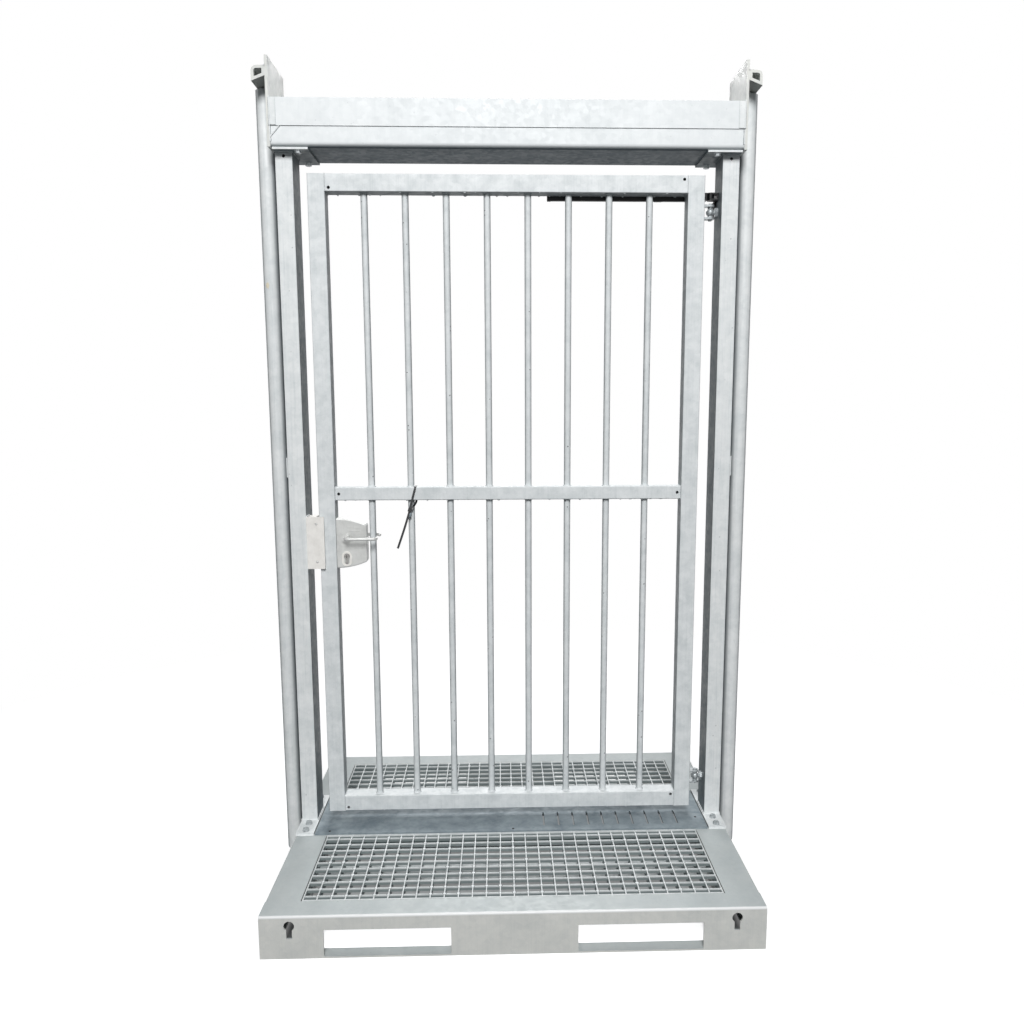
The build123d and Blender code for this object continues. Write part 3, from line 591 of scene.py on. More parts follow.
class GATE_OT_finishes(bpy.types.Operator):
    """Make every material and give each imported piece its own"""

    bl_idname = "gate.finishes"
    bl_label = "Materials"

    def execute(self, context):
        colours = context.scene.gate_colours
        coats = (
            ("posts", "galvanised_steel_posts", {
                "clouds": 0.32, "runs": 0.24, "flaws": 0.35, "painted_side_shade": 0.82,
            }),
            ("header", "galvanised_steel_header", {
                "cloud_mm": 120.0, "clouds": 0.3, "runs": 0.1, "flaws": 0.12, "painted_side_shade": 0.97,
            }),
            ("leaf", "galvanised_steel_leaf", {
                "cloud_mm": 45.0, "clouds": 0.36, "runs": 0.14, "flaws": 0.85, "painted_side_shade": 0.6,
            }),
            ("base", "galvanised_steel_folded_base", {
                "cloud_mm": 110.0, "clouds": 0.35, "runs": 0.1, "flaws": 0.25, "rough": 0.42,
                "painted_side_shade": 0.2, "shade": level_tint_and_fold_highlight,
            }),
            ("threshold", "galvanised_steel_worn_plate", {
                "cloud_mm": 80.0, "clouds": 0.6, "runs": 0.1, "flaws": 0.3,
            }),
            ("gratings", "galvanised_steel_grating", {
                "cloud_mm": 45.0, "clouds": 0.4, "runs": 0.1, "flaws": 0.3, "painted_side_shade": 0.0,
                "shade": painted_shade_below_tread,
            }),
        )
        for part, finish, settings in coats:
            tones = [getattr(colours, f"{part}_{tone}") for tone in ("light", "dark")]
            galvanised(finish, *tones, colours.stain, **settings)
        zinc_plated("zinc_plated_steel")
        satin_aluminium("satin_anodised_aluminium", "D8D9D7", "A9AAA8")
        satin_aluminium("bright_anodised_aluminium", "F3F1ED", "C9C6C1")
        satin_nickel("satin_nickel_plate")
        black_powder_coat("black_powder_coat")
        black_nylon("black_moulded_nylon")
        painted_recess_shade("dark_metal_recess")
        old_paint("old_cream_paint")
        finish_of_slot = {
            "galvanised_frame": "galvanised_steel_posts",
            "galvanised_header": "galvanised_steel_header",
            "galvanised_leaf": "galvanised_steel_leaf",
            "galvanised_base": "galvanised_steel_folded_base",
            "galvanised_plate": "galvanised_steel_worn_plate",
            "galvanised_grating": "galvanised_steel_grating",
            "zinc_hardware": "zinc_plated_steel",
            "satin_lock_metal": "satin_anodised_aluminium",
            "cylinder_nickel": "satin_nickel_plate",
            "black_paint": "black_powder_coat",
            "black_nylon": "black_moulded_nylon",
        }
        # The plates and stubs on top take the base's finish, whose weak painted shade keeps all their faces pale
        finish_of_node = {
            name: "galvanised_steel_folded_base"
            for name in ("end_plate_left", "end_plate_right", "top_stub_left", "top_stub_right")
        }
        finish_of_node["lock_keep"] = "bright_anodised_aluminium"
        for part in frame["record"]["subparts"]:
            finish = finish_of_node.get(part["node"], finish_of_slot[part["material_slot"]])
            materials = frame["nodes"][part["node"]].data.materials
            materials.clear()
            materials.append(bpy.data.materials[finish])
        return {"FINISHED"}


def mirrored(side, low, high):
    """Corners of a right-hand box, or of its mirror image for side -1."""
    left, right = sorted((side * low.x, side * high.x))
    return Vector((left, low.y, low.z)), Vector((right, high.y, high.z))


class GATE_OT_frame_welds(bpy.types.Operator):
    """Lay the weld beads of the posts, the header and the coupling tubes"""

    bl_idname = "gate.frame_welds"
    bl_label = "Frame welds"

    def execute(self, context):
        sizes = context.scene.gate_sizes
        welds = Outline()
        header_low, header_high = BOX["header_lower"]
        upper_low, upper_high = BOX["header_upper"]
        for side in (-1, 1):
            low, high = mirrored(side, *BOX["post_right"])
            welds.level_rectangle(low, high, low.z)
            welds.level_rectangle(low, high, high.z)
            low, high = mirrored(side, *BOX["foot_plate_right"])
            for y in (low.y, high.y):
                welds.line((low.x, y, low.z), (high.x, y, low.z))
            # The header's ends to the inner faces of the end plates
            inner = upper_high.x * side
            welds.line((inner, upper_low.y, upper_low.z), (inner, upper_low.y, upper_high.z),
                       (inner, upper_high.y, upper_high.z), (inner, upper_high.y, upper_low.z))
            lip = 14 * MM
            welds.line((inner, header_low.y, header_high.z), (inner, header_low.y, header_low.z + lip))
            # The stub and the coupling tube to the end plate's outer face
            stub_low, stub_high = mirrored(side, *BOX["top_stub_right"])
            outer = BOX["end_plate_right"][1].x * side
            welds.line((outer, stub_low.y, stub_high.z), (outer, stub_high.y, stub_high.z))
            tube_low, tube_high = mirrored(side, *BOX["coupling_tube_right"])
            middle = (tube_low + tube_high) / 2
            radius = (tube_high.y - tube_low.y) / 2
            welds.ring(middle.x, middle.y, tube_high.z, radius - 1.5 * sizes.weld)
            stops = (header_low.z, tube_high.z - 90 * MM, tube_high.z - 4 * MM)
            for y in (middle.y - radius / 2, middle.y + radius / 2):
                welds.line(*((outer, y, z) for z in stops))
        # Mitred corner of the folded channel at its left end
        mitre = 27 * MM
        welds.line((header_low.x, header_low.y, header_low.z + mitre),
                   (header_low.x + mitre, header_low.y, header_high.z))
        keep_low, keep_high = BOX["lock_keep"]
        for z in (keep_low.z, keep_high.z):
            welds.line((keep_low.x, keep_low.y + 5 * MM, z), (keep_low.x, keep_high.y, z))
        grow("frame_welds", bead_tree(), "frame", "galvanised_frame", "galvanised_steel_posts", welds,
             Radius=sizes.weld, Ripple=sizes.ripple, Depth=0.16, Seed=3)
        return {"FINISHED"}


# Thickness of the clevises' ears
EAR = 4 * MM


class GATE_OT_leaf_welds(bpy.types.Operator):
    """Lay the weld beads of the leaf's tubes, its bars and its hinges"""

    bl_idname = "gate.leaf_welds"
    bl_label = "Leaf welds"

    def execute(self, context):
        sizes = context.scene.gate_sizes
        tree = bead_tree()
        collars = Outline()
        bar_y = centre("leaf_bars").y
        bottom_rail, mid_rail, top_rail = BOX["leaf_bottom_rail"], BOX["leaf_mid_rail"], BOX["leaf_top_rail"]
        levels = (bottom_rail[1].z, mid_rail[0].z, mid_rail[1].z, top_rail[0].z)
        for x in BAR_PLACES:
            for z in levels:
                collars.ring(x, bar_y, z, BAR_RADIUS)
        grow("bar_welds", tree, "leaf", "galvanised_leaf", "galvanised_steel_leaf", collars,
             Radius=sizes.weld, Ripple=sizes.ripple, Depth=0.14, Seed=8)
        joints = Outline()
        for rail in LEAF_RAILS:
            low, high = BOX[rail]
            for x in (low.x, high.x):
                joints.upright_rectangle(x, low, high)
        stile_side = BOX["leaf_hinge_stile"][1]
        for clevis in ("hinge_clevis_top", "hinge_clevis_bottom"):
            low, high = BOX[clevis]
            joints.upright_rectangle(
                stile_side.x, Vector((0, low.y, low.z + EAR)), Vector((0, stile_side.y, high.z - EAR))
            )
        grow("rail_welds", tree, "leaf", "galvanised_leaf", "galvanised_steel_leaf", joints,
             Radius=sizes.weld * 0.5, Ripple=sizes.ripple, Depth=0.16, Seed=9)
        return {"FINISHED"}


# How a bolt or a screw is turned so that its head looks up, down or to the front
UPWARD = (0, 0, 0)
DOWNWARD = (math.pi, 0, 0)
FRONTWARD = (math.pi / 2, 0, 0)

# Places of the screws in the threshold plate, in metres along X and Y
PLATE_SCREWS = ((-0.569, -0.070), (0.002, -0.073), (0.588, -0.016))


class GATE_OT_bolts(bpy.types.Operator):
    """Bolt the foot plates, the head plates and the hinge pins, and screw the threshold and the keep"""

    bl_idname = "gate.bolts"
    bl_label = "Bolts and screws"

    def execute(self, context):
        sizes = context.scene.gate_sizes
        foot = centre("foot_plate_right")
        head = centre("head_plate_right")
        foot_top = BOX["foot_plate_right"][1].z
        head_bottom = BOX["head_plate_right"][0].z
        feet = [
            (side * foot.x, foot.y + end * from_middle, foot_top)
            for side in (-1, 1) for end in (-1, 1) for from_middle in (70 * MM, 114 * MM)
        ]
        heads = [
            (side * (head.x - 20 * MM), head.y + from_middle, head_bottom)
            for side in (-1, 1) for from_middle in (-71 * MM, 65 * MM)
        ]
        hexagon = hexagon_tree()
        rows = (("foot_plate_bolts", feet, UPWARD), ("head_plate_bolts", heads, DOWNWARD))
        for seed, (name, places, turn) in enumerate(rows):
            grow(name, hexagon, "frame", "zinc_hardware", "zinc_plated_steel", Outline(places), Turn=turn,
                 Flats=sizes.bolt, Height=sizes.bolt_head, Washer=sizes.washer, Seed=seed)

        button = button_tree()
        swing = next(joint for joint in frame["joints"] if joint["name"] == "leaf_swing")
        pin_x, pin_y = swing["pos_m"][:2]
        top_low, top_high = BOX["hinge_clevis_top"]
        bottom_low, bottom_high = BOX["hinge_clevis_bottom"]
        under = [(pin_x, pin_y, z + EAR) for z in (top_low.z, bottom_low.z)]
        over = [(pin_x, pin_y, z - EAR) for z in (top_high.z, bottom_high.z)]
        rows = (("hinge_pin_washers_under", under, DOWNWARD), ("hinge_pin_washers_over", over, UPWARD))
        for name, places, turn in rows:
            grow(name, button, "leaf", "zinc_hardware", "zinc_plated_steel", Outline(places),
                 Width=sizes.washer * 0.7, Height=1.6 * MM, Turn=turn, Seed=3)
        # The threshold's screw sockets are low buttons in the near-black painted recess shade
        plate_top = BOX["threshold_plate"][1].z
        plate_screws = Outline((x, y, plate_top) for x, y in PLATE_SCREWS)
        grow("threshold_screws", button, "frame", "zinc_hardware", "dark_metal_recess", plate_screws,
             Width=sizes.screw, Height=1.2 * MM, Turn=UPWARD, Seed=1)
        keep_low, keep_high = BOX["lock_keep"]
        keep_x, inset = keep_low.x + 30 * MM, 22 * MM
        keep_screws = Outline((keep_x, keep_low.y, z) for z in (keep_low.z + inset, keep_high.z - inset))
        grow("keep_screws", button, "frame", "zinc_hardware", "satin_anodised_aluminium", keep_screws,
             Width=sizes.screw, Height=1.0 * MM, Turn=FRONTWARD, Seed=2)
        return {"FINISHED"}


# The gratings' pitches and the thickness of their bars
BEARING_PITCH = 38.1 * MM
CROSS_PITCH = 34.3 * MM
GRATING_BAR = 3.0 * MM


def grating_crossings(panel):
    """Places on a panel's top where its bearing bars and cross bars meet."""
    low, high = BOX[panel]
    middle = centre(panel)
    columns = int((high.x - low.x - GRATING_BAR) // BEARING_PITCH)
    rows = int((high.y - low.y - GRATING_BAR) // CROSS_PITCH)
    across = [middle.x + BEARING_PITCH * (i - (columns - 1) / 2) for i in range(columns)]
    along = [middle.y + CROSS_PITCH * (j - (rows - 1) / 2) for j in range(rows)]
    return [(x, y, high.z) for x in across for y in along]


class GATE_OT_zinc(bpy.types.Operator):
    """Add the zinc that froze in pools on the gratings and in drips under the rails"""

    bl_idname = "gate.zinc"
    bl_label = "Zinc pools and drips"

    def execute(self, context):
        sizes = context.scene.gate_sizes
        crossings = Outline(grating_crossings("front_grating") + grating_crossings("rear_grating"))
        grow("zinc_pools", button_tree(), "frame", "galvanised_grating", "galvanised_steel_header", crossings,
             Width=sizes.pool, Height=0.7 * MM, Uneven=1.0, Turn=UPWARD, Seed=2)
        edges = Outline()
        inset, end = 4 * MM, 30 * MM
        for rail in LEAF_RAILS:
            low, high = BOX[rail]
            for y in (low.y + inset, high.y - inset):
                edges.line((low.x + end, y, low.z), (high.x - end, y, low.z))
        grow("zinc_drips", drip_tree(), "leaf", "galvanised_leaf", "galvanised_steel_leaf", edges,
             Spacing=31 * MM, Width=8 * MM, Length=5 * MM, Share=0.4, Seed=4)
        return {"FINISHED"}


def add_block(mesh, middle, size):
    """Add a block with its centre and its size along each axis."""
    place = Matrix.Translation(middle) @ Matrix.Diagonal((*size, 1))
    bmesh.ops.create_cube(mesh, size=1, matrix=place)


def add_span(mesh, low, high):
    """Add a block between its lowest and its highest corner."""
    low, high = Vector(low), Vector(high)
    add_block(mesh, (low + high) / 2, high - low)


def round_edges(piece, radius):
    """Round a piece's sharp edges."""
    bevel = piece.modifiers.new("round_edges", "BEVEL")
    bevel.width = radius
    bevel.segments = 2
    bevel.limit_method = "ANGLE"


class GATE_OT_header_trim(bpy.types.Operator):
    """Add the end strips that close the header's upper channel"""

    bl_idname = "gate.header_trim"
    bl_label = "Header end strips"

    def execute(self, context):
        width = context.scene.gate_sizes.end_strip
        low, high = BOX["header_upper"]
        thickness = 1.6 * MM
        mesh = bmesh.new()
        for side in (-1, 1):
            for face_y, outward in ((low.y, -1), (high.y, 1)):
                strip_y = face_y + outward * thickness / 2
                middle = Vector((side * (high.x - width / 2), strip_y, (low.z + high.z) / 2))
                add_block(mesh, middle, (width, thickness, high.z - low.z - 2 * MM))
        strips = keep_mesh("header_end_strips", mesh, "frame", "galvanised_steel_posts")
        round_edges(strips, 0.6 * MM)
        return {"FINISHED"}


OVAL_POINTS = 26


def oval_points(width, height, drop):
    """Outline with straight sides and round ends whose middle is this far below the origin."""
    points = []
    radius = width / 2
    half = height / 2 - radius
    for i in range(OVAL_POINTS):
        angle = math.tau * i / OVAL_POINTS
        lift = half if math.sin(angle) >= 0 else -half
        points.append((radius * math.cos(angle), radius * math.sin(angle) + lift - drop))
    return points


def add_framed_plate(mesh, outer, inner, origin, facing, thickness):
    """Add a plate between an outer and an inner outline of equal counts, raised from a wall."""
    rings = []
    for depth in (0.0, thickness):
        for outline in (outer, inner):
            y = origin.y + facing * depth
            rings.append([mesh.verts.new((origin.x + u, y, origin.z + w)) for u, w in outline])
    outer_wall, inner_wall, outer_face, inner_face = rings
    loop = (outer_wall, outer_face, inner_face, inner_wall, outer_wall)
    for first, second in zip(loop, loop[1:]):
        for i in range(len(first)):
            j = (i + 1) % len(first)
            mesh.faces.new((first[i], first[j], second[j], second[i]))


class GATE_OT_lock_trim(bpy.types.Operator):
    """Add the lock's escutcheons, cylinder plugs, key slots and ribs"""

    bl_idname = "gate.lock_trim"
    bl_label = "Lock fittings"

    def execute(self, context):
        case_low, case_high = BOX["lock_case"]
        cylinder_low, cylinder_high = BOX["lock_cylinder"]
        cylinder_height = cylinder_high.z - cylinder_low.z
        head_radius = (cylinder_high.x - cylinder_low.x) / 2
        head = Vector((centre("lock_cylinder").x, 0, cylinder_high.z - head_radius))
        cylinder_drop = cylinder_height / 2 - head_radius
        clear = 0.4 * MM
        slot_height, slot_drop = 9.5 * MM, 1.2 * MM
        hole = oval_points(2 * (head_radius + clear), cylinder_height + 2 * clear, cylinder_drop)
        plate = oval_points(31 * MM, 47 * MM, cylinder_drop)
        circle = oval_points(13 * MM, 13 * MM, 0)
        key_slot = oval_points(2.6 * MM, slot_height, slot_drop)
        plates, plugs, slots = bmesh.new(), bmesh.new(), bmesh.new()
        for wall_y, face_y, facing in ((case_low.y, cylinder_low.y, -1), (case_high.y, cylinder_high.y, 1)):
            origin = Vector((head.x, wall_y, head.z))
            add_framed_plate(plates, plate, hole, origin, facing, 2.4 * MM)
            origin = Vector((head.x, face_y, head.z))
            add_framed_plate(plugs, circle, key_slot, origin, facing, 0.5 * MM)
            # Each key slot is a thin near-black block on the plug, painted shade where the slot is a hole
            bottom = origin + Vector((0, facing * 0.1 * MM, -slot_drop))
            add_block(slots, bottom, (3.2 * MM, 0.1 * MM, slot_height))
        escutcheons = keep_mesh(
            "lock_escutcheons", plates, "leaf", "bright_anodised_aluminium"
        )
        round_edges(escutcheons, 0.5 * MM)
        keep_mesh("lock_plugs", plugs, "leaf", "satin_nickel_plate")
        keep_mesh("lock_key_slots", slots, "leaf", "dark_metal_recess")

        ribs = bmesh.new()
        rib_x = head.x + 24 * MM
        for wall_y in (case_low.y, case_high.y):
            for below_top in (28 * MM, 38 * MM):
                middle = Vector((rib_x, wall_y, case_high.z - below_top))
                add_block(ribs, middle, (40 * MM, 1.6 * MM, 2.4 * MM))
        rib_piece = keep_mesh("lock_case_ribs", ribs, "leaf", "satin_anodised_aluminium")
        round_edges(rib_piece, 0.6 * MM)
        return {"FINISHED"}


class GATE_OT_closer_trim(bpy.types.Operator):
    """Add the plate behind the closer's bracket, and the arm's shoe, end cap and clamp"""

    bl_idname = "gate.closer_trim"
    bl_label = "Closer fittings"

    def execute(self, context):
        low, high = BOX["closer_bracket"]
        clevis_low, clevis_high = BOX["hinge_clevis_top"]
        lug = 5 * MM
        edge = low.y + 1 * MM
        rear = BOX["post_right"][1].y - 2 * MM
        plate_bottom = clevis_low.z + 15 * MM
        # Thin beside the arm and thick behind the clevis, each clear of the leaf as it opens
        thin, thick = high.x - 4.8 * MM, high.x - 9.0 * MM
        plate = bmesh.new()
        add_span(plate, (thin, edge, low.z + lug), (high.x, high.y, high.z - lug))
        add_span(plate, (thin, high.y + 0.3 * MM, low.z), (high.x, rear, high.z))
        add_span(plate, (thick, clevis_high.y + 3 * MM, plate_bottom), (high.x, rear, low.z - 0.3 * MM))
        keep_mesh("closer_bracket_plate", plate, "frame", "black_powder_coat")

        stile_x = BOX["leaf_hinge_stile"][1].x
        arm_low, arm_high = BOX["closer_arm"]
        inset, proud = 0.5 * MM, 0.8 * MM
        fittings = bmesh.new()
        shoe_corner = (low.x - inset, arm_high.y - inset, high.z - inset)
        add_span(fittings, (stile_x, edge, low.z + inset), shoe_corner)
        rail_rear = BOX["leaf_top_rail"][1].y + 0.2 * MM
        for along, width in ((1 * MM, 10 * MM), (320 * MM, 22 * MM)):
            x = arm_low.x + along
            clamp_corner = (x + width, arm_high.y + proud, arm_high.z + proud)
            add_span(fittings, (x, rail_rear, arm_low.z - proud), clamp_corner)
        clamps = keep_mesh("closer_arm_fittings", fittings, "leaf", "black_powder_coat")
        round_edges(clamps, 0.6 * MM)
        return {"FINISHED"}


def add_strap(mesh, points, width, thickness):
    """Add a flat strap along some points, its width as level as the run allows."""
    rings = []
    for i, point in enumerate(points):
        ahead = (points[min(i + 1, len(points) - 1)] - points[max(i - 1, 0)]).normalized()
        across = (Vector((1, 0, 0)) - ahead * ahead.x).normalized() * width / 2
        up = ahead.cross(across).normalized() * thickness / 2
        corners = (point - across - up, point + across - up, point + across + up, point - across + up)
        rings.append([mesh.verts.new(corner) for corner in corners])
    for first, second in zip(rings, rings[1:]):
        for i in range(4):
            j = (i + 1) % 4
            mesh.faces.new((first[i], first[j], second[j], second[i]))
    mesh.faces.new(rings[0])
    mesh.faces.new(rings[-1])


def smooth_run(points, count):
    """Points at even steps along a smooth line through some points."""
    curve = bpy.data.curves.new("strap_line", "CURVE")
    curve.dimensions = "3D"
    spline = curve.splines.new("NURBS")
    spline.points.add(len(points) - 1)
    for target, point in zip(spline.points, points):
        target.co = (*point, 1)
    spline.order_u = 3
    spline.use_endpoint_u = True
    spline.resolution_u = count
    holder = bpy.data.objects.new("strap_line", curve)
    line = bpy.data.meshes.new_from_object(holder)
    run = [vertex.co.copy() for vertex in line.vertices]
    bpy.data.objects.remove(holder)
    bpy.data.meshes.remove(line)
    bpy.data.curves.remove(curve)
    return run


class GATE_OT_cable_tie(bpy.types.Operator):
    """Draw the used cable tie that hangs over the middle rail beside a bar"""

    bl_idname = "gate.cable_tie"
    bl_label = "Cable tie"

    def execute(self, context):
        width = context.scene.gate_sizes.tie_width
        thickness = 1.3 * MM
        rail_low, rail_high = BOX["leaf_mid_rail"]
        bar_x = BAR_PLACES[1]
        side_x = bar_x + BAR_RADIUS + width / 2 + 1 * MM
        head = Vector((bar_x - 3 * MM, rail_low.y - 3.5 * MM, rail_low.z - 30 * MM))
        gap = 1.2 * MM
        # From the head up the front of the rail, over it, down its rear and back to the head
        loop = [
            head + Vector((0, 0, 3 * MM)),
            Vector((bar_x + 4 * MM, rail_low.y - gap, rail_low.z)),
            Vector((side_x, rail_low.y - gap, rail_high.z - 3 * MM)),
            Vector((side_x, rail_low.y + 3 * MM, rail_high.z + gap)),
            Vector((side_x, rail_high.y - 3 * MM, rail_high.z + gap)),
            Vector((side_x, rail_high.y + gap, rail_high.z - 3 * MM)),
            Vector((side_x, rail_high.y + gap, rail_low.z + 2 * MM)),
            Vector((side_x, rail_high.y - 12 * MM, rail_low.z - 9 * MM)),
            Vector((side_x - 4 * MM, rail_low.y + 4 * MM, rail_low.z - 16 * MM)),
            head + Vector((4 * MM, 3 * MM, 0)),
        ]
        tail = [
            head,
            head + Vector((-7 * MM, -1.5 * MM, -24 * MM)),
            head + Vector((-21 * MM, -3 * MM, -68 * MM)),
            head + Vector((-39 * MM, -1 * MM, -118 * MM)),
        ]
        mesh = bmesh.new()
        add_strap(mesh, smooth_run(loop, 6), width, thickness)
        add_strap(mesh, smooth_run(tail, 10), width, thickness)
        turn = Matrix.Rotation(math.radians(18), 4, "Y")
        block = Matrix.Translation(head) @ turn @ Matrix.Diagonal((11 * MM, 7 * MM, 10 * MM, 1))
        bmesh.ops.create_cube(mesh, size=1, matrix=block)
        piece = keep_mesh("cable_tie_strap", mesh, "leaf", "black_moulded_nylon")
        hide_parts("cable_tie")
        # A lump of dried mortar sticks to the strap under its head
        lump = bmesh.new()
        place = Matrix.Translation(head + Vector((0, 1 * MM, -15 * MM))) @ turn
        shape = Matrix.Diagonal((5 * MM, 3 * MM, 9 * MM, 1))
        bmesh.ops.create_icosphere(lump, subdivisions=2, radius=1, matrix=place @ shape)
        keep_mesh("cable_tie_lump", lump, "leaf", "galvanised_steel_worn_plate")
        return {"FINISHED"}


class GATE_OT_paint_dab(bpy.types.Operator):
    """Leave the small dab of old paint on the left coupling tube"""

    bl_idname = "gate.paint_dab"
    bl_label = "Paint dab"

    def execute(self, context):
        middle = centre("coupling_tube_left")
        low, high = BOX["coupling_tube_left"]
        radius = (high.y - low.y) / 2
        dab_z, half_height_mm, proud = 1.788, 9, 0.35 * MM
        # The dab faces the front, turned a little to the left, and bends round the tube
        facing, half_spread = -math.pi / 2 - 0.35, 0.24
        mesh = bmesh.new()
        bmesh.ops.create_uvsphere(mesh, u_segments=14, v_segments=8, radius=1)
        for vertex in mesh.verts:
            angle = facing + vertex.co.x * half_spread
            out = radius + proud * vertex.co.y
            lift = vertex.co.z * half_height_mm * MM * (1 + 0.25 * math.sin(5 * vertex.co.x))
            vertex.co = (middle.x + out * math.cos(angle), middle.y + out * math.sin(angle), dab_z + lift)
        keep_mesh("paint_dab", mesh, "frame", "old_cream_paint")
        return {"FINISHED"}


# Places of the two lamps, in metres: how far to the front and to the rear, how high, and their width
LAMP_DISTANCE = 5.8
LAMP_HEIGHT = 5.6
LAMP_SIZE = 2.4
GATE_MIDDLE = Vector((0, 0, 1.2))


class GATE_OT_stage(bpy.types.Operator):
    """Set the floor, the lamps, the world and the camera"""

    bl_idname = "gate.stage"
    bl_label = "Studio"

    def execute(self, context):
        studio = context.scene.gate_studio
        scene = context.scene
        scene.view_settings.view_transform = "Standard"
        add_floor(scene)
        add_world(scene, studio.world_level)
        add_lamp(scene, "front_lamp", -LAMP_DISTANCE, studio.key_power)
        add_lamp(scene, "rear_lamp", LAMP_DISTANCE, studio.rear_power)
        add_camera(scene, studio)
        return {"FINISHED"}


def seen_directly(tree):
    """1 for camera, mirror and see-through rays, 0 for the light that bounces."""
    path = add_node(tree, "ShaderNodeLightPath").outputs
    rays = (path["Is Camera Ray"], path["Is Glossy Ray"])
    seen = add_node(tree, "ShaderNodeMath", rays, operation="MAXIMUM")
    return add_node(tree, "ShaderNodeMath", (seen, path["Is Transmission Ray"]), operation="MAXIMUM")


# Where each fade on the floor, of its painted shade under the tray and into the backdrop, starts and ends, in
# metres from the gate's middle
TRAY_SIDE = (0.62, 0.67)
TRAY_FRONT = (0.47, 0.51)
STRIP_START = (0.26, 0.36)
STRIP_END = (0.50, 0.52)
STRIP_SIDE = (0.52, 0.55)
BACKDROP = (1.4, 2.8)


def floor_material():
    """Matt studio floor: nearly white to the eye with a painted shade under the tray, and plain mid grey for the
    light it throws back.
    """
    material = bpy.data.materials.new("matt_studio_floor")
    material.use_nodes = True
    tree = material.node_tree
    tree.nodes.clear()
    place = add_node(tree, "ShaderNodeTexCoord").outputs["Object"]
    axes = add_node(tree, "ShaderNodeSeparateXYZ", (place,)).outputs
    # The ground under the tray is painted darker as its shade, which shows through the gratings and the keyholes,
    # but for the two strips behind the fork slots, which are painted as lit ground
    across = add_node(tree, "ShaderNodeMath", (axes["X"],), operation="ABSOLUTE")
    along = add_node(tree, "ShaderNodeMath", (axes["Y"],), operation="ABSOLUTE")
    beside = add_node(tree, "ShaderNodeMapRange", (across, *TRAY_SIDE))
    beyond = add_node(tree, "ShaderNodeMapRange", (along, *TRAY_FRONT))
    outside = add_node(tree, "ShaderNodeMath", (beside, beyond), operation="MAXIMUM")
    strip_start = add_node(tree, "ShaderNodeMapRange", (along, *STRIP_START))
    strip_end = add_node(tree, "ShaderNodeMapRange", (along, *STRIP_END, 1.0, 0.0))
    strip_side = add_node(tree, "ShaderNodeMapRange", (across, *STRIP_SIDE, 1.0, 0.0))
    strip_depth = add_node(tree, "ShaderNodeMath", (strip_start, strip_end), operation="MULTIPLY")
    painted_lit_strip = add_node(tree, "ShaderNodeMath", (strip_depth, strip_side), operation="MINIMUM")
    outside_painted_shade = add_node(tree, "ShaderNodeMath", (outside, painted_lit_strip), operation="MAXIMUM")
    distance = add_node(tree, "ShaderNodeVectorMath", (place,), operation="LENGTH").outputs["Value"]
    far = add_node(tree, "ShaderNodeMapRange", (distance, *BACKDROP))
    lit = add_node(tree, "ShaderNodeBsdfDiffuse", {
        "Color": layered(tree, linear("8A9092"), (outside_painted_shade, 1.0, "F4F4F4")),
    })
    # Painted light: the floor under the tray glows where light would sift through the gratings, and hardly at all
    # where the keyholes show it
    painted_sifted_light = add_node(tree, "ShaderNodeMapRange", (axes["Y"], -0.30, -0.26, 0.03, 0.2))
    glow = add_node(tree, "ShaderNodeMapRange", (outside_painted_shade, 0.0, 1.0, painted_sifted_light, 0.5))
    # The strips behind the fork slots glow brighter still, as painted lit ground
    glow = weighted(tree, (painted_lit_strip, 0.35), (glow, 1.0))
    glow = add_node(tree, "ShaderNodeEmission", {"Color": linear("FFFFFF"), "Strength": glow})
    near_floor = add_node(tree, "ShaderNodeAddShader", (lit, glow))
    backdrop = add_node(tree, "ShaderNodeEmission", {"Color": linear("FFFFFF"), "Strength": 1.0})
    shown = add_node(tree, "ShaderNodeMixShader", (far, near_floor, backdrop))
    bounced = add_node(tree, "ShaderNodeBsdfDiffuse", {"Color": linear("505254")})
    surface = add_node(tree, "ShaderNodeMixShader", (seen_directly(tree), bounced, shown))
    add_node(tree, "ShaderNodeOutputMaterial", {"Surface": surface})
    return material


def add_floor(scene):
    """Plain pale floor that runs out into the white background and keeps the gate's shadow."""
    mesh = bmesh.new()
    bmesh.ops.create_circle(mesh, cap_ends=True, segments=64, radius=30)
    data = bpy.data.meshes.new("studio_floor")
    mesh.to_mesh(data)
    mesh.free()
    data.materials.append(floor_material())
    floor = bpy.data.objects.new("studio_floor", data)
    scene.collection.objects.link(floor)


def add_world(scene, level):
    """White background to the eye, and soft grey light from all round on the gate."""
    world = bpy.data.worlds.new("studio_world")
    world.use_nodes = True
    tree = world.node_tree
    tree.nodes.clear()
    light = add_node(tree, "ShaderNodeBackground", {"Color": linear("EAF1F5"), "Strength": level})
    shown = add_node(tree, "ShaderNodeBackground", {"Color": linear("FFFFFF"), "Strength": 1.0})
    surface = add_node(tree, "ShaderNodeMixShader", (seen_directly(tree), light, shown))
    add_node(tree, "ShaderNodeOutputWorld", {"Surface": surface})
    scene.world = world


def add_lamp(scene, name, y, power):
    """Square soft lamp that faces the middle of the gate."""
    data = bpy.data.lights.new(name, "AREA")
    data.size = LAMP_SIZE
    data.energy = power
    lamp = bpy.data.objects.new(name, data)
    lamp.location = (0, y, LAMP_HEIGHT)
    lamp.rotation_euler = (GATE_MIDDLE - lamp.location).to_track_quat("-Z", "Y").to_euler()
    scene.collection.objects.link(lamp)


# Where the photograph's middle ray falls in an image of 1024 by 1024 pixels
IMAGE_PIXELS = 1024
CENTRE_PIXEL = (527.1, 524.7)
SENSOR_MM = 36.0


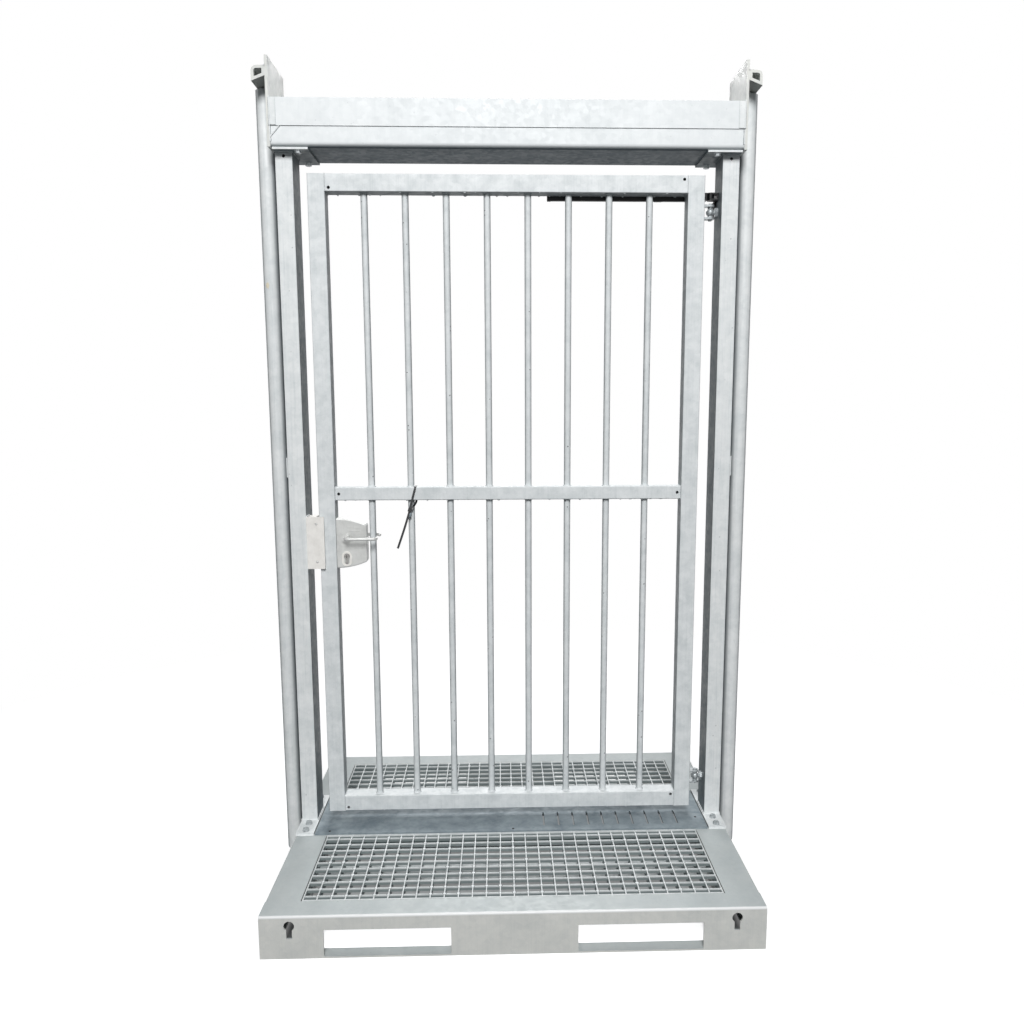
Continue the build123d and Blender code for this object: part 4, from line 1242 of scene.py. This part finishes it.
def add_camera(scene, studio):
    """Camera at the photograph's place, turn and framing."""
    data = bpy.data.cameras.new("photo_camera")
    data.sensor_width = SENSOR_MM
    data.lens = studio.focal_pixels / IMAGE_PIXELS * SENSOR_MM
    data.shift_x = 0.5 - CENTRE_PIXEL[0] / IMAGE_PIXELS
    data.shift_y = CENTRE_PIXEL[1] / IMAGE_PIXELS - 0.5
    tilt, roll, turn = studio.camera_turn
    level = Matrix.Rotation(-turn, 4, "Z") @ Matrix.Rotation(math.pi / 2 - tilt, 4, "X")
    camera = bpy.data.objects.new("photo_camera", data)
    camera.matrix_world = Matrix.Translation(studio.camera_place) @ level @ Matrix.Rotation(-roll, 4, "Z")
    scene.collection.objects.link(camera)
    scene.camera = camera


class GATE_PT_panel(bpy.types.Panel):
    """Steps, sizes and colours of the gate's finish"""

    bl_idname = "GATE_PT_panel"
    bl_label = "Walk-through gate"
    bl_space_type = "VIEW_3D"
    bl_region_type = "UI"
    bl_category = "Gate"

    def draw(self, context):
        for step in STEPS:
            self.layout.operator(step.bl_idname)
        for group in (context.scene.gate_sizes, context.scene.gate_colours, context.scene.gate_studio):
            box = self.layout.box()
            for name in group.__annotations__:
                box.prop(group, name)


STEPS = (
    GATE_OT_finishes,
    GATE_OT_frame_welds,
    GATE_OT_leaf_welds,
    GATE_OT_bolts,
    GATE_OT_zinc,
    GATE_OT_header_trim,
    GATE_OT_lock_trim,
    GATE_OT_closer_trim,
    GATE_OT_cable_tie,
    GATE_OT_paint_dab,
    GATE_OT_stage,
)
CLASSES = (GateColours, GateSizes, GateStudio, *STEPS, GATE_PT_panel)


def register():
    for made in CLASSES:
        bpy.utils.register_class(made)
    bpy.types.Scene.gate_colours = PointerProperty(type=GateColours)
    bpy.types.Scene.gate_sizes = PointerProperty(type=GateSizes)
    bpy.types.Scene.gate_studio = PointerProperty(type=GateStudio)


def unregister():
    del bpy.types.Scene.gate_studio
    del bpy.types.Scene.gate_sizes
    del bpy.types.Scene.gate_colours
    for made in reversed(CLASSES):
        bpy.utils.unregister_class(made)


def main():
    """Build every piece in order."""
    register()
    for step in STEPS:
        family, name = step.bl_idname.split(".")
        getattr(getattr(bpy.ops, family), name)()


if __name__ == "__main__":
    main()
